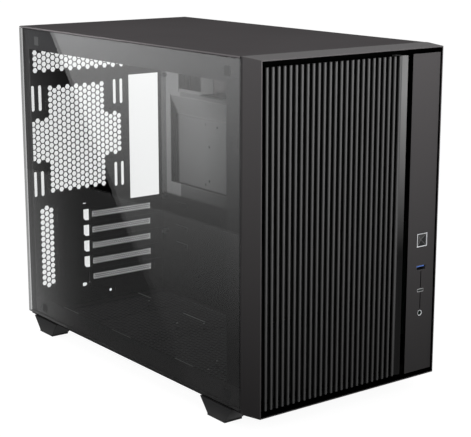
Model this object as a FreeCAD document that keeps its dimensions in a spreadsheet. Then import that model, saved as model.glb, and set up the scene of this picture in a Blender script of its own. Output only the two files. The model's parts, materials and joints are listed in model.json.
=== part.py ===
import FreeCAD, Part
import math
import os

import Sketcher
from FreeCAD import Vector

# Frame: X to the right seen from the front, Y to the rear, Z up.
# The origin lies under the middle of the case, on the plane that the feet stand on.

doc = FreeCAD.newDocument("MicroAtxCase")

# Driving dimensions in millimetres, one cell each

SIZES = [
    # The case as a whole
    ("case_width", 240.2, "glass face to right panel face"),
    ("foot_height", 17.7, "feet, below the chassis"),
    ("bezel_depth", 29.6, "front bezel, rim to seam"),
    ("glass_length", 433.1, "glass panel, front to rear"),
    ("glass_height", 348.3, "glass panel"),
    ("glass_thick", 4.0, "tempered glass"),
    ("glass_lift", 4.3, "chassis underside to lower edge of the glass"),
    ("seam", 0.4, "gap between glass, cover and bezel"),
    ("side_gap", 0.8, "glass to chassis rail"),
    ("rear_overhang", 4.2, "glass past the rear panel"),
    ("play", 0.3, "running gap between pieces that part"),
    # Steel chassis
    ("gauge", 0.8, "sheet steel"),
    ("rail_height", 25.4, "side rails of floor and top frame"),
    ("post_depth", 27.3, "front posts, folded from the bulkhead"),
    ("rear_flange", 9.3, "side flanges of the rear panel"),
    ("tray_inset", 38.8, "tray face to the chassis side"),
    ("tray_drop", 64.0, "tray top below the cover top"),
    ("rear_rim", 5.5, "rim behind the rear panel on the glass side"),
    ("ledge_depth", 11.0, "card ledge behind the rear panel"),
    # Top cover
    ("cover_skirt", 1.8, "turned down edge of the cover"),
    ("cover_gauge", 0.8, "cover sheet"),
    # Motherboard position
    ("board_side", 243.84, "micro ATX board, both ways"),
    ("window_rear", 21.7, "tray cut-out to the rear panel"),
    ("window_length", 136.0, "tray cut-out behind the socket"),
    ("window_drop", 30.0, "tray top to the cut-out"),
    ("window_height", 112.5, "tray cut-out behind the socket"),
    ("notch_drop", 25.0, "cable notches, down from the tray top"),
    ("bracket_offset", 15.0, "drive bracket behind the tray"),
    ("bracket_length", 140.0, "drive bracket"),
    ("drive_pitch", 76.6, "drive screws, up"),
    ("drive_width", 61.72, "drive screws, across"),
    ("board_thick", 1.57, "board"),
    ("board_edge", 1.2, "board to rear panel"),
    ("standoff_height", 6.35, "tray to board"),
    ("standoff_flats", 5.0, "hexagon of a standoff"),
    ("standoff_bore", 3.0, "tapped bore of a standoff"),
    ("hole_edge_rear", 10.16, "board edge to first hole column"),
    ("hole_edge_top", 6.35, "board edge to first hole row"),
    ("hole_column_two", 154.94, "second hole column"),
    ("hole_column_three", 227.33, "third hole column"),
    ("hole_row_two", 157.48, "second hole row"),
    ("hole_row_three", 203.2, "third hole row"),
    # Rear panel openings
    ("shield_width", 44.45, "connector aperture, across"),
    ("shield_height", 158.75, "connector aperture, up"),
    ("shield_below_board", 3.81, "aperture edge below the board face"),
    ("shield_drop", 4.0, "aperture top below the board top"),
    ("hex_flats", 6.0, "vent hexagon across flats"),
    ("hex_pitch", 7.0, "vent hexagon spacing, up"),
    ("vent_centre", 47.5, "fan vent, left of the middle"),
    ("vent_lift", 0.5, "fan vent above the fan centre"),
    ("top_vent_drop", 52.65, "top vent, lowest row below the chassis top"),
    ("top_vent_inset", 12.0, "top vent, first column in from the side"),
    ("side_vent_inset", 15.8, "side vent, first column in from the side"),
    ("side_vent_lift", 33.3, "side vent, lowest row above the underside"),
    ("fan_spacing", 105.0, "screw spacing of a 120 mm fan"),
    ("fan_spacing_large", 124.5, "screw spacing of a 140 mm fan"),
    ("fan_slot_width", 4.3, "fan screw slot"),
    ("fan_slot_length", 31.0, "fan screw slot"),
    ("fan_drop", 75.85, "fan centre below the board top"),
    ("fan_offset", 45.4, "fan centre, left of the middle"),
    ("slot_pitch", 20.32, "expansion slots"),
    ("slot_drop", 175.5, "first slot below the board top"),
    ("slot_count", 5, "expansion slots"),
    ("slot_length", 97.5, "expansion slot opening"),
    ("slot_height", 12.0, "expansion slot opening"),
    ("cover_height", 18.4, "slot cover"),
    ("cover_vent_length", 91.0, "vented field of a slot cover"),
    ("cover_vent_height", 7.4, "vented field of a slot cover"),
    ("notch_width", 8.0, "notch for a card bracket"),
    ("notch_height", 14.3, "notch for a card bracket"),
    ("slot_left", 34.05, "card ledge, left of the middle"),
    # Front
    ("bezel_taper", 2.7, "bezel side, drawn in toward the rim"),
    ("bezel_top_drop", 1.7, "bezel top, falling to the rim"),
    ("bezel_bottom_lift", 2.2, "bezel underside at the seam"),
    ("bezel_bottom_rise", 2.0, "bezel underside, rising to the rim"),
    ("bezel_shoulder", 5.0, "rolled rear edge of the bezel side"),
    ("shoulder_draw", 0.9, "how far that edge draws in"),
    ("rim_wall", 1.2, "bezel rim"),
    ("front_drop", 2.2, "cover top to the level that ribs and strip hang from"),
    ("strip_gap", 2.5, "port strip to the rim's outer face"),
    ("carrier_depth", 16.0, "carrier plate, behind the rim"),
    ("carrier_thick", 2.0, "carrier plate"),
    ("rib_pitch", 7.03, "front ribs"),
    ("rib_width", 2.6, "front ribs"),
    ("rib_nose", 1.6, "flat of a rib"),
    ("rib_depth", 2.6, "front ribs"),
    ("rib_count", 25, "front ribs"),
    ("rib_start", 7.5, "rim to the first rib"),
    ("rib_recess", 2.0, "rim to the rib faces"),
    ("rib_margin", 6.6, "rim to the rib ends"),
    ("ladder_thick", 2.0, "ladder behind the ribs"),
    ("ladder_bar", 5.0, "bars of the ladder"),
    ("strip_width", 38.0, "port strip"),
    ("strip_thick", 2.5, "port strip"),
    ("strip_recess", 1.5, "rim to the port strip"),
    ("strip_margin", 5.6, "rim to the ends of the port strip"),
    ("board_depth", 13.0, "rim to the port board"),
    ("filter_thick", 1.2, "front filter"),
    # Ports, along one upright line
    ("port_inset", 20.6, "line of ports to the right rim"),
    ("button_height", 170.3, "button centre above the ground"),
    ("button_side", 12.2, "power button"),
    ("button_travel", 0.9, "power button stroke"),
    ("button_length", 6.0, "power button body"),
    ("button_dish", 1.6, "four sided dish of the button"),
    ("ring_side", 15.0, "light ring round the button"),
    ("usb_drop", 29.6, "button to wide port"),
    ("port_pitch", 24.8, "wide port to small port to jack"),
    ("usb_width", 13.1, "wide port shell"),
    ("usb_height", 5.7, "wide port shell"),
    ("usb_wall", 0.4, "port shells"),
    ("small_width", 9.0, "small port shell"),
    ("small_height", 3.3, "small port shell"),
    ("jack_bore", 3.6, "audio jack bore"),
    ("jack_ring_size", 6.8, "white ring of the jack"),
    ("jack_ring_wall", 0.8, "white ring of the jack"),
    ("line_width", 1.1, "engraved line between the ports"),
    ("line_depth", 0.6, "engraved line between the ports"),
    # Feet
    ("foot_length", 55.0, "foot, at the chassis"),
    ("foot_width", 34.0, "foot, at the chassis"),
    ("foot_tip_length", 30.0, "foot, at the ground"),
    ("foot_tip_width", 22.0, "foot, at the ground"),
    ("foot_inset", 1.0, "foot to the side of the chassis"),
    ("foot_front", 73.5, "rim to the front foot centre"),
    ("foot_rear", 426.5, "rim to the rear foot centre"),
    ("pad_thick", 1.5, "rubber pad under a foot"),
    ("foot_draw", 2.1, "outer side of a foot, drawn in at the ground"),
    # Filter under the floor
    ("tray_filter_width", 158.0, "bottom filter"),
    ("tray_filter_length", 370.0, "bottom filter"),
    ("tray_filter_thick", 3.0, "bottom filter"),
    ("tray_filter_border", 9.0, "bottom filter frame"),
    ("runner_lip", 4.0, "lip of a filter runner"),
    # Top frame, bulkhead and clips
    ("top_window", 150.0, "windows of the top frame, across"),
    ("top_border", 26.0, "top frame, round its windows"),
    ("fan_window", 122.0, "fan windows of the bulkhead"),
    ("fan_shift", 20.0, "fan windows, left of the middle"),
    ("clip_inset", 12.0, "bezel clips in from the corners"),
    ("clip_width", 6.0, "bezel clips"),
    ("clip_height", 4.0, "bezel clips"),
    ("stud_inset", 24.0, "glass studs in from the ends"),
    ("end_bar", 8.7, "sloped bar beside the last rib"),
    ("notch_one_near", 39.7, "cable notches of the tray, from the rear panel"),
    ("notch_one_far", 88.7, "first notch ends"),
    ("notch_two_near", 114.7, "second notch starts"),
    ("notch_two_far", 152.0, "second notch ends"),
    ("notch_three_near", 180.0, "third notch starts"),
    ("notch_three_far", 232.0, "third notch ends"),
    ("bar_one", 149.5, "first cross bar of the floor, from the front"),
    ("bar_two", 286.5, "second cross bar of the floor, from the front"),
    ("bar_length", 30.0, "cross bars, front to rear"),
    ("floor_rear", 55.0, "plain floor over the rear of the filter"),
    ("drive_rear", 77.7, "drive's screws from the rear panel"),
    ("drive_hole", 3.2, "drive's screw holes"),
    # Power inlet
    ("inlet_lift", 45.0, "power inlet above the underside"),
    ("inlet_width", 20.0, "power inlet"),
    ("inlet_height", 28.0, "power inlet"),
]

sizes = doc.addObject("Spreadsheet::Sheet", "Sizes")
for row, (alias, value, meaning) in enumerate(SIZES, start=1):
    sizes.set(f"A{row}", meaning)
    sizes.set(f"B{row}", str(value))
    sizes.setAlias(f"B{row}", alias)

# Planes and places that follow from the sizes

PLACES = [
    ("half", "=Sizes.case_width / 2"),
    ("under", "=Sizes.foot_height"),
    ("glass_base", "=under + Sizes.glass_lift"),
    ("glass_top", "=glass_base + Sizes.glass_height"),
    ("cover_top", "=glass_top + Sizes.seam + Sizes.cover_skirt"),
    ("chassis_top", "=cover_top - Sizes.cover_gauge - Sizes.play"),
    ("side", "=half - Sizes.glass_thick - Sizes.side_gap"),
    ("rail_top", "=under + Sizes.rail_height"),
    ("rail_low", "=chassis_top - Sizes.rail_height"),
    ("depth", "=Sizes.bezel_depth + Sizes.glass_length - Sizes.rear_overhang + Sizes.ledge_depth"),
    ("front", "=-depth / 2"),
    ("seam_line", "=front + Sizes.bezel_depth"),
    ("glass_rear", "=seam_line + Sizes.glass_length"),
    ("rear_out", "=glass_rear - Sizes.rear_overhang"),
    ("rear_in", "=rear_out - Sizes.gauge"),
    ("bulkhead", "=seam_line + Sizes.seam"),
    ("inside_front", "=bulkhead + Sizes.gauge"),
    ("floor_face", "=under + Sizes.gauge"),
    ("top_face", "=chassis_top - Sizes.gauge"),
    ("tray_face", "=side - Sizes.tray_inset"),
    ("board_face", "=tray_face - Sizes.standoff_height - Sizes.board_thick"),
    ("shield_right", "=board_face + Sizes.shield_below_board"),
    ("shield_left", "=shield_right - Sizes.shield_width"),
    ("tray_top", "=cover_top - Sizes.tray_drop"),
    ("board_top", "=tray_top"),
    ("board_rear", "=rear_in - Sizes.board_edge"),
    ("shield_top", "=board_top - Sizes.shield_drop"),
    ("shield_base", "=shield_top - Sizes.shield_height"),
    ("fan_centre", "=board_top - Sizes.fan_drop"),
    ("slot_one", "=board_top - Sizes.slot_drop"),
    ("rim_half", "=half - Sizes.bezel_taper"),
    ("rim_top", "=cover_top - Sizes.bezel_top_drop"),
    ("bezel_base", "=under + Sizes.bezel_bottom_lift"),
    ("rim_base", "=bezel_base + Sizes.bezel_bottom_rise"),
    ("opening_half", "=rim_half - Sizes.rim_wall"),
    ("opening_top", "=rim_top - Sizes.rim_wall"),
    ("opening_base", "=rim_base + Sizes.rim_wall"),
    ("carrier", "=front + Sizes.carrier_depth"),
    ("rib_face", "=front + Sizes.rib_recess"),
    ("ladder", "=rib_face + Sizes.rib_depth"),
    ("rib_first", "=-rim_half + Sizes.rib_start"),
    ("rib_low", "=rim_base + Sizes.rib_margin"),
    ("rib_high", "=cover_top - Sizes.front_drop - Sizes.rib_margin"),
    ("rib_last", "=rib_first + (Sizes.rib_count - 1) * Sizes.rib_pitch + Sizes.rib_width"),
    ("strip_right", "=rim_half - Sizes.strip_gap"),
    ("strip_left", "=strip_right - Sizes.strip_width"),
    ("strip_face", "=front + Sizes.strip_recess"),
    ("strip_back", "=strip_face + Sizes.strip_thick"),
    ("strip_low", "=rim_base + Sizes.strip_margin"),
    ("strip_high", "=cover_top - Sizes.front_drop - Sizes.strip_margin"),
    ("port_line", "=rim_half - Sizes.port_inset"),
    ("usb_line", "=Sizes.button_height - Sizes.usb_drop"),
    ("small_line", "=usb_line - Sizes.port_pitch"),
    ("jack_line", "=small_line - Sizes.port_pitch"),
    ("port_board", "=front + Sizes.board_depth"),
    ("filter_half", "=Sizes.tray_filter_width / 2"),
    ("filter_front", "=front + Sizes.foot_front - 7.5"),
    ("filter_top", "=under - Sizes.play"),
    ("bar_one", "=front + Sizes.bar_one"),
    ("bar_two", "=front + Sizes.bar_two"),
    ("top_pitch", "=(rear_in - inside_front - Sizes.top_border) / 2"),
    ("rung_pitch", "=(rib_high - rib_low - Sizes.ladder_bar) / 4"),
]

places = doc.addObject("Spreadsheet::Sheet", "Places")
for row, (alias, formula) in enumerate(PLACES, start=1):
    places.set(f"B{row}", formula)
    places.setAlias(f"B{row}", alias)
doc.recompute()


def size(alias):
    """A driving dimension, in millimetres."""
    return float(getattr(sizes, alias))


def place(alias):
    """A place that follows from the sizes, in millimetres."""
    return float(getattr(places, alias))


def bind(item, **formulas):
    """Tie properties to the sheets; a double underscore stands for a dot."""
    for name, formula in formulas.items():
        item.setExpression(name.replace("__", "."), formula)


def put(item, x="0", y="0", z="0"):
    """Tie the place of an object to the sheets."""
    bind(item, Placement__Base__x=x, Placement__Base__y=y, Placement__Base__z=z)


NODES = {}


def new_body(name, x="0", y="0", z="0"):
    """A solid piece with its own origin planes, set down at x, y, z."""
    body = doc.addObject("PartDesign::Body", name)
    body.Label = name
    put(body, x, y, z)
    NODES[name] = body
    return body


def new_sketch(body, name, role, level="0"):
    """A sketch on one of the body's own planes, raised to a level along its normal."""
    sketch = body.newObject("Sketcher::SketchObject", f"{body.Name}_{name}")
    plane = [f for f in body.Origin.OriginFeatures if f.Role == role][0]
    sketch.AttachmentSupport = [(plane, "")]
    sketch.MapMode = "FlatFace"
    sketch.setExpression("AttachmentOffset.Base.z", level)
    return sketch


def hold(sketch, kind, geometry, point, formula):
    """Fix one coordinate of a sketch point to a formula."""
    tag = f"{kind[-1]}{geometry}"
    index = sketch.addConstraint(Sketcher.Constraint(kind, -1, 1, geometry, point, 1.0))
    sketch.renameConstraint(index, tag)
    sketch.setExpression(f"Constraints.{tag}", formula)


def outline(sketch, points):
    """A closed outline; each corner is a pair of formulas."""
    first = sketch.GeometryCount
    count = len(points)
    ring = [Vector(math.cos(2 * math.pi * k / count), math.sin(2 * math.pi * k / count), 0)
            for k in range(count + 1)]
    for k in range(count):
        sketch.addGeometry(Part.LineSegment(ring[k], ring[k + 1]), False)
    for k in range(count):
        after = first + (k + 1) % count
        sketch.addConstraint(Sketcher.Constraint("Coincident", first + k, 2, after, 1))
    for k, (across, up) in enumerate(points):
        hold(sketch, "DistanceX", first + k, 1, across)
        hold(sketch, "DistanceY", first + k, 1, up)


def rectangle(sketch, left, low, right, high):
    """A rectangle between two corners given as formulas."""
    outline(sketch, [(left, low), (right, low), (right, high), (left, high)])


def circle(sketch, across, up, radius):
    """A circle from formulas for its centre and radius."""
    index = sketch.addGeometry(Part.Circle(Vector(0, 0, 0), Vector(0, 0, 1), 1.0), False)
    hold(sketch, "DistanceX", index, 3, across)
    hold(sketch, "DistanceY", index, 3, up)
    row = sketch.addConstraint(Sketcher.Constraint("Radius", index, 1.0))
    sketch.renameConstraint(row, f"R{index}")
    sketch.setExpression(f"Constraints.R{index}", radius)


def pad(body, sketch, length, reverse=False):
    """Thicken a sketch along its normal, or against it."""
    feature = body.newObject("PartDesign::Pad", f"{sketch.Name}_pad")
    feature.Profile = sketch
    feature.Reversed = reverse
    feature.setExpression("Length", length)
    return feature


def pocket(body, sketch, length, reverse=False):
    """Cut a sketch out of the body against its normal, or along it."""
    feature = body.newObject("PartDesign::Pocket", f"{sketch.Name}_cut")
    feature.Profile = sketch
    feature.Reversed = reverse
    feature.setExpression("Length", length)
    return feature


def made(name, shape):
    """A piece whose shape is worked out from the sheets in code."""
    item = doc.addObject("Part::Feature", name)
    item.Label = name
    item.Shape = shape
    NODES[name] = item
    return item


def block(x_low, x_high, y_low, y_high, z_low, z_high):
    """A plain block between six planes."""
    return Part.makeBox(x_high - x_low, y_high - y_low, z_high - z_low, Vector(x_low, y_low, z_low))


def rod(radius, length, foot, axis):
    """A round rod from its foot along an axis."""
    return Part.makeCylinder(radius, length, foot, axis)


X_AXIS = Vector(1, 0, 0)
Y_AXIS = Vector(0, 1, 0)
Z_AXIS = Vector(0, 0, 1)

gauge = size("gauge")
side = place("side")
under = place("under")
rear_in = place("rear_in")
rear_out = place("rear_out")
rail_top = place("rail_top")
rail_low = place("rail_low")
chassis_top = place("chassis_top")
tray_face = place("tray_face")


# Rear panel: one sheet with its vents, slots, aperture, side flanges and card ledge

def loop(corners):
    """A closed wire in the rear panel's plane from x, z corners."""
    points = [Vector(x, rear_in, z) for x, z in corners]
    return Part.makePolygon(points + points[:1])


def hexagon(x, z):
    """A vent hexagon, flats at its top and bottom."""
    radius = size("hex_flats") / math.sqrt(3)
    angles = [math.radians(60 * k) for k in range(6)]
    return loop([(x + radius * math.cos(a), z + radius * math.sin(a)) for a in angles])


def upright_slot(x, z, width, length):
    """An upright slot with round ends."""
    radius = width / 2
    reach = length / 2 - radius
    left_low = Vector(x - radius, rear_in, z - reach)
    left_high = Vector(x - radius, rear_in, z + reach)
    right_low = Vector(x + radius, rear_in, z - reach)
    right_high = Vector(x + radius, rear_in, z + reach)
    crown = Vector(x, rear_in, z + length / 2)
    base = Vector(x, rear_in, z - length / 2)
    return Part.Wire([Part.LineSegment(left_low, left_high).toShape(),
                      Part.Arc(left_high, crown, right_high).toShape(),
                      Part.LineSegment(right_high, right_low).toShape(),
                      Part.Arc(right_low, base, left_low).toShape()])


def window(x_low, x_high, z_low, z_high):
    """A rectangular opening."""
    return loop([(x_low, z_low), (x_high, z_low), (x_high, z_high), (x_low, z_high)])


def round_hole(x, z, radius):
    """A round opening."""
    centre = Vector(x, rear_in, z)
    return Part.Wire([Part.Circle(centre, Y_AXIS, radius).toShape()])


hex_pitch = size("hex_pitch")
hex_step = hex_pitch * math.sqrt(3) / 2
fan_x = -size("fan_offset")
fan_z = place("fan_centre")
slot_left = -size("slot_left")
slot_count = int(size("slot_count"))
slot_z = [place("slot_one") - k * size("slot_pitch") for k in range(slot_count)]
openings = []

# The fan vent is a cross: its outer columns are short, beside the fan screw slots
FAN_COLUMNS = 10
FULL_COLUMNS = 6
vent_x = -size("vent_centre")
vent_z = fan_z + size("vent_lift")
for column in range(-FAN_COLUMNS, FAN_COLUMNS + 1):
    full = abs(column) <= FULL_COLUMNS
    if column % 2:
        rows = 18 if full else 8
    else:
        rows = 19 if full else 7
    for row in range(rows):
        rise = (row - (rows - 1) / 2) * hex_pitch
        openings.append(hexagon(vent_x + column * hex_step, vent_z + rise))

# A strip of vents along the top edge
TOP_COLUMNS = 23
top_vent_x = -side + size("top_vent_inset")
top_vent_z = chassis_top - size("top_vent_drop")
for column in range(TOP_COLUMNS):
    odd = column % 2
    for row in range(4 - odd):
        openings.append(hexagon(top_vent_x + column * hex_step, top_vent_z + (row + odd / 2) * hex_pitch))

# A narrow strip of vents beside the expansion slots
side_vent_x = -side + size("side_vent_inset")
side_vent_z = under + size("side_vent_lift")
for column in range(3):
    middle = column % 2
    for row in range(14 + middle):
        rise = (row + (1 - middle) / 2) * hex_pitch
        openings.append(hexagon(side_vent_x + column * hex_step, side_vent_z + rise))

# Fan screw slots, in pairs for two fan sizes
for spacing in (size("fan_spacing"), size("fan_spacing_large")):
    for across in (-spacing / 2, spacing / 2):
        for up in (-size("fan_spacing") / 2, size("fan_spacing") / 2):
            openings.append(upright_slot(fan_x + across, fan_z + up,
                                         size("fan_slot_width"), size("fan_slot_length")))

# Connector aperture, expansion slots and the notches that card brackets pass through
openings.append(window(place("shield_left"), place("shield_right"),
                       place("shield_base"), place("shield_top")))
SLOT_CLEAR = 3.0
slot_half = size("slot_height") / 2
notch_half = size("notch_height") / 2
notch_left = slot_left - size("notch_width")
for z in slot_z:
    openings.append(window(slot_left + SLOT_CLEAR, slot_left + SLOT_CLEAR + size("slot_length"),
                           z - slot_half, z + slot_half))
for z in slot_z[:-1]:
    openings.append(loop([(notch_left + 3, z - notch_half), (slot_left, z - notch_half),
                          (slot_left, z + notch_half), (notch_left, z + notch_half),
                          (notch_left, z - notch_half + 3)]))
SLIT = 2 * gauge
openings.append(window(slot_left - SLIT, slot_left, slot_z[-1] - notch_half, slot_z[-1] + notch_half))

# Power inlet in the cable chamber, and two tooling holes
inlet_x = tray_face + size("tray_inset") / 2
inlet_z = under + size("inlet_lift")
inlet_half = size("inlet_width") / 2
inlet_rise = size("inlet_height") / 2
openings.append(window(inlet_x - inlet_half, inlet_x + inlet_half,
                       inlet_z - inlet_rise, inlet_z + inlet_rise))
openings.append(loop([(slot_left - 11.3, under + 23.2), (slot_left - 6.8, under + 23.2),
                      (slot_left - 4.6, under + 25.2), (slot_left - 6.2, under + 27.6),
                      (slot_left - 11.3, under + 27.6)]))
openings.append(window(slot_left - 8.4, slot_left - 3.9, slot_z[0] + 14.4, slot_z[0] + 15.6))
TOOLING_RADIUS = 1.9
openings.append(round_hole(slot_left + 29.6, under + 12.0, TOOLING_RADIUS))

panel_outline = window(-side, side, under, chassis_top)
sheet = Part.Face([panel_outline] + openings)
sheet.validate()
rear = sheet.extrude(Vector(0, gauge, 0))
flange_y = rear_in - size("rear_flange")
ledge_low = slot_z[-1] - notch_half
ledge_high = slot_z[-1] + notch_half
rear = rear.fuse([
    block(-side, -side + gauge, flange_y, rear_in, rail_top, rail_low),
    block(side - gauge, side, flange_y, rear_in, rail_top, rail_low),
    block(slot_left, slot_left + gauge, rear_out, rear_out + size("ledge_depth"), ledge_low, ledge_high),
    block(-side, -side + gauge, rear_in, rear_out + size("rear_rim"), under, place("glass_top")),
])
made("rear_panel", rear)


# Slot covers: strips inside the panel; the lowest has a tab through the slit to the ledge

TAB_HALF = 5.5
SLIT_SHARE = 0.32
for number, z in enumerate(slot_z, start=1):
    last = number == slot_count
    cover = block(slot_left - gauge if last else slot_left, tray_face - size("play"),
                  rear_in - gauge, rear_in,
                  z - size("cover_height") / 2, z + size("cover_height") / 2)
    if last:
        cover = cover.fuse(block(slot_left - gauge, slot_left, rear_in - gauge,
                                 rear_out + size("ledge_depth"), z - TAB_HALF, z + TAB_HALF))
    vent_left = slot_left + SLOT_CLEAR + 2
    slit_pitch = size("cover_vent_height") / 3
    for row in (-1, 0, 1):
        middle = z + row * slit_pitch
        cover = cover.cut(block(vent_left, vent_left + size("cover_vent_length"), rear_in - 2, rear_in + 2,
                                middle - slit_pitch * SLIT_SHARE, middle + slit_pitch * SLIT_SHARE))
    made(f"slot_cover_{number}", cover.removeSplitter())


def hexagon_post(centre, axis, across, flats, length):
    """A hexagon post from its foot along an axis."""
    radius = flats / math.sqrt(3)
    third = axis.cross(across)
    corners = [centre + across * (radius * math.cos(math.radians(60 * k)))
               + third * (radius * math.sin(math.radians(60 * k))) for k in range(6)]
    face_wire = Part.makePolygon(corners + corners[:1])
    return Part.Face(face_wire).extrude(axis * length)


def hexagon_screw(flats, head_length, shank_radius, shank_length, seat, axis):
    """A hexagon-headed screw: its head stands on its seat, its shank goes down into it."""
    head = hexagon_post(seat, axis, Z_AXIS, flats, head_length)
    shank = rod(shank_radius, shank_length, seat, axis * -1)
    return head.fuse(shank)


def group(name, solids):
    """Like pieces that share one node as separate solids."""
    return made(name, Part.makeCompound(solids))


# The ledge and the tab are drilled for the cover's screw
SCREW_FLATS = 6.35
SCREW_HEAD = 2.0
SCREW_RADIUS = 1.5
SCREW_LENGTH = 5.0
SCREW_ROOM = 1.0
screw_seat = Vector(slot_left - gauge, rear_out + size("ledge_depth") * 0.6, slot_z[-1])
made("slot_screw", hexagon_screw(SCREW_FLATS, SCREW_HEAD, SCREW_RADIUS, SCREW_LENGTH, screw_seat, X_AXIS * -1))
shank = rod(SCREW_RADIUS, SCREW_LENGTH + SCREW_ROOM, screw_seat, X_AXIS)
for node in (NODES["rear_panel"], NODES[f"slot_cover_{slot_count}"]):
    node.Shape = node.Shape.cut(shank)


# Floor pan: a folded channel with three vented windows

floor_pan = new_body("floor_pan")
profile = new_sketch(floor_pan, "profile", "XZ_Plane", "-Places.inside_front")
outline(profile, [
    ("-Places.side", "Places.under"),
    ("Places.side", "Places.under"),
    ("Places.side", "Places.rail_top"),
    ("Places.side - Sizes.gauge", "Places.rail_top"),
    ("Places.side - Sizes.gauge", "Places.floor_face"),
    ("-Places.side + Sizes.gauge", "Places.floor_face"),
    ("-Places.side + Sizes.gauge", "Places.rail_top"),
    ("-Places.side", "Places.rail_top"),
])
pad(floor_pan, profile, "Places.rear_in - Places.inside_front", reverse=True)
windows = new_sketch(floor_pan, "windows", "XY_Plane", "Places.floor_face")
starts = ("Places.filter_front + Sizes.tray_filter_border", "Places.bar_one + Sizes.bar_length / 2",
          "Places.bar_two + Sizes.bar_length / 2")
ends = ("Places.bar_one - Sizes.bar_length / 2", "Places.bar_two - Sizes.bar_length / 2",
        "Places.filter_front + Sizes.tray_filter_length - Sizes.floor_rear")
for start, end in zip(starts, ends):
    rectangle(windows, "-Places.filter_half + Sizes.tray_filter_border", start,
              "Places.filter_half - Sizes.tray_filter_border", end)
pocket(floor_pan, windows, "2 * Sizes.gauge")


# Top frame: the same channel turned over, open under the cover

top_frame = new_body("top_frame")
profile = new_sketch(top_frame, "profile", "XZ_Plane", "-Places.inside_front")
outline(profile, [
    ("-Places.side", "Places.rail_low"),
    ("-Places.side + Sizes.gauge", "Places.rail_low"),
    ("-Places.side + Sizes.gauge", "Places.top_face"),
    ("Places.side - Sizes.gauge", "Places.top_face"),
    ("Places.side - Sizes.gauge", "Places.rail_low"),
    ("Places.side", "Places.rail_low"),
    ("Places.side", "Places.chassis_top"),
    ("-Places.side", "Places.chassis_top"),
])
pad(top_frame, profile, "Places.rear_in - Places.inside_front", reverse=True)
windows = new_sketch(top_frame, "windows", "XY_Plane", "Places.chassis_top")
for bay in range(2):
    start = f"Places.inside_front + Sizes.top_border + {bay} * Places.top_pitch"
    rectangle(windows, "-Sizes.top_window / 2", start,
              "Sizes.top_window / 2", f"{start} + Places.top_pitch - Sizes.top_border")
pocket(top_frame, windows, "2 * Sizes.gauge")


# Motherboard tray: one sheet with the socket cut-out, cable notches and tie bridges

tray = new_body("motherboard_tray")
face = new_sketch(tray, "face", "YZ_Plane", "Places.tray_face")
rectangle(face, "Places.inside_front", "Places.floor_face", "Places.rear_in - Sizes.gauge", "Places.tray_top")
pad(tray, face, "Sizes.gauge")
holes = new_sketch(tray, "cut_outs", "YZ_Plane", "Places.tray_face + Sizes.gauge")
rectangle(holes, "Places.rear_in - Sizes.window_rear - Sizes.window_length",
          "Places.tray_top - Sizes.window_drop - Sizes.window_height",
          "Places.rear_in - Sizes.window_rear", "Places.tray_top - Sizes.window_drop")
for notch in ("one", "two", "three"):
    rectangle(holes, f"Places.rear_in - Sizes.notch_{notch}_far", "Places.tray_top - Sizes.notch_drop",
              f"Places.rear_in - Sizes.notch_{notch}_near", "Places.tray_top + 1")
pocket(tray, holes, "2 * Sizes.gauge")
bridges = new_sketch(tray, "bridges", "YZ_Plane", "Places.tray_face")
for lift in (136.5, 106.0, 83.5):
    rectangle(bridges, "Places.rear_in - 58", f"{lift}", "Places.rear_in - 34", f"{lift} + 5")
pad(tray, bridges, "2 * Sizes.gauge", reverse=True)


# Standoffs: tapped hexagon posts under the board's nine holes

column_y = [place("board_rear") - size("hole_edge_rear") - step
            for step in (0.0, size("hole_column_two"), size("hole_column_three"))]
row_z = [place("board_top") - size("hole_edge_top") - step
         for step in (0.0, size("hole_row_two"), size("hole_row_three"))]
posts = []
for y in column_y:
    for z in row_z:
        foot = Vector(tray_face, y, z)
        post = hexagon_post(foot, X_AXIS * -1, Z_AXIS, size("standoff_flats"), size("standoff_height"))
        bore = rod(size("standoff_bore") / 2, size("standoff_height"), foot, X_AXIS * -1)
        posts.append(post.cut(bore))
group("standoffs", posts)


# Drive bracket behind the socket cut-out: a dished plate on two flanges

bracket = new_body("drive_bracket")
profile = new_sketch(bracket, "profile", "XZ_Plane", "-(Places.rear_in - 12)")
back = "Places.tray_face + Sizes.gauge"
deep = "Places.tray_face + Sizes.bracket_offset"
low = "(Places.tray_top - Sizes.window_drop - Sizes.window_height)"
high = "(Places.tray_top - Sizes.window_drop)"
outline(profile, [
    (back, f"{low} - 16"),
    (f"{back} + Sizes.gauge", f"{low} - 16"),
    (f"{back} + Sizes.gauge", f"{low} - 9"),
    (f"{deep} + Sizes.gauge", f"{low} - 4"),
    (f"{deep} + Sizes.gauge", f"{high} - 27"),
    (f"{back} + Sizes.gauge", f"{high} - 1"),
    (f"{back} + Sizes.gauge", f"{high} + 9"),
    (back, f"{high} + 9"),
    (back, f"{high} - 1.6"),
    (deep, f"{high} - 27.6"),
    (deep, f"{low} - 3.6"),
    (back, f"{low} - 8.5"),
])
pad(bracket, profile, "Sizes.bracket_length")
drive_holes = new_sketch(bracket, "drive_holes", "YZ_Plane", f"{deep} - 1")
drive_low = f"{low} + 2.6"
for inset, rise in ((0, 0), (0, 1), (1, 0), (1, 1)):
    circle(drive_holes, f"Places.rear_in - Sizes.drive_rear - {inset} * Sizes.drive_width",
           f"{drive_low} + {rise} * Sizes.drive_pitch", "Sizes.drive_hole / 2")
for inset, rise in ((25.0, 75.5), (8.0, 49.0), (8.0, 5.2)):
    circle(drive_holes, f"Places.rear_in - Sizes.drive_rear - {inset}", f"{drive_low} + {rise}",
           "Sizes.drive_hole / 2")
pocket(bracket, drive_holes, "4", reverse=True)


# Front bulkhead: two fan windows, fan slots and the posts folded back at both sides

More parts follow.
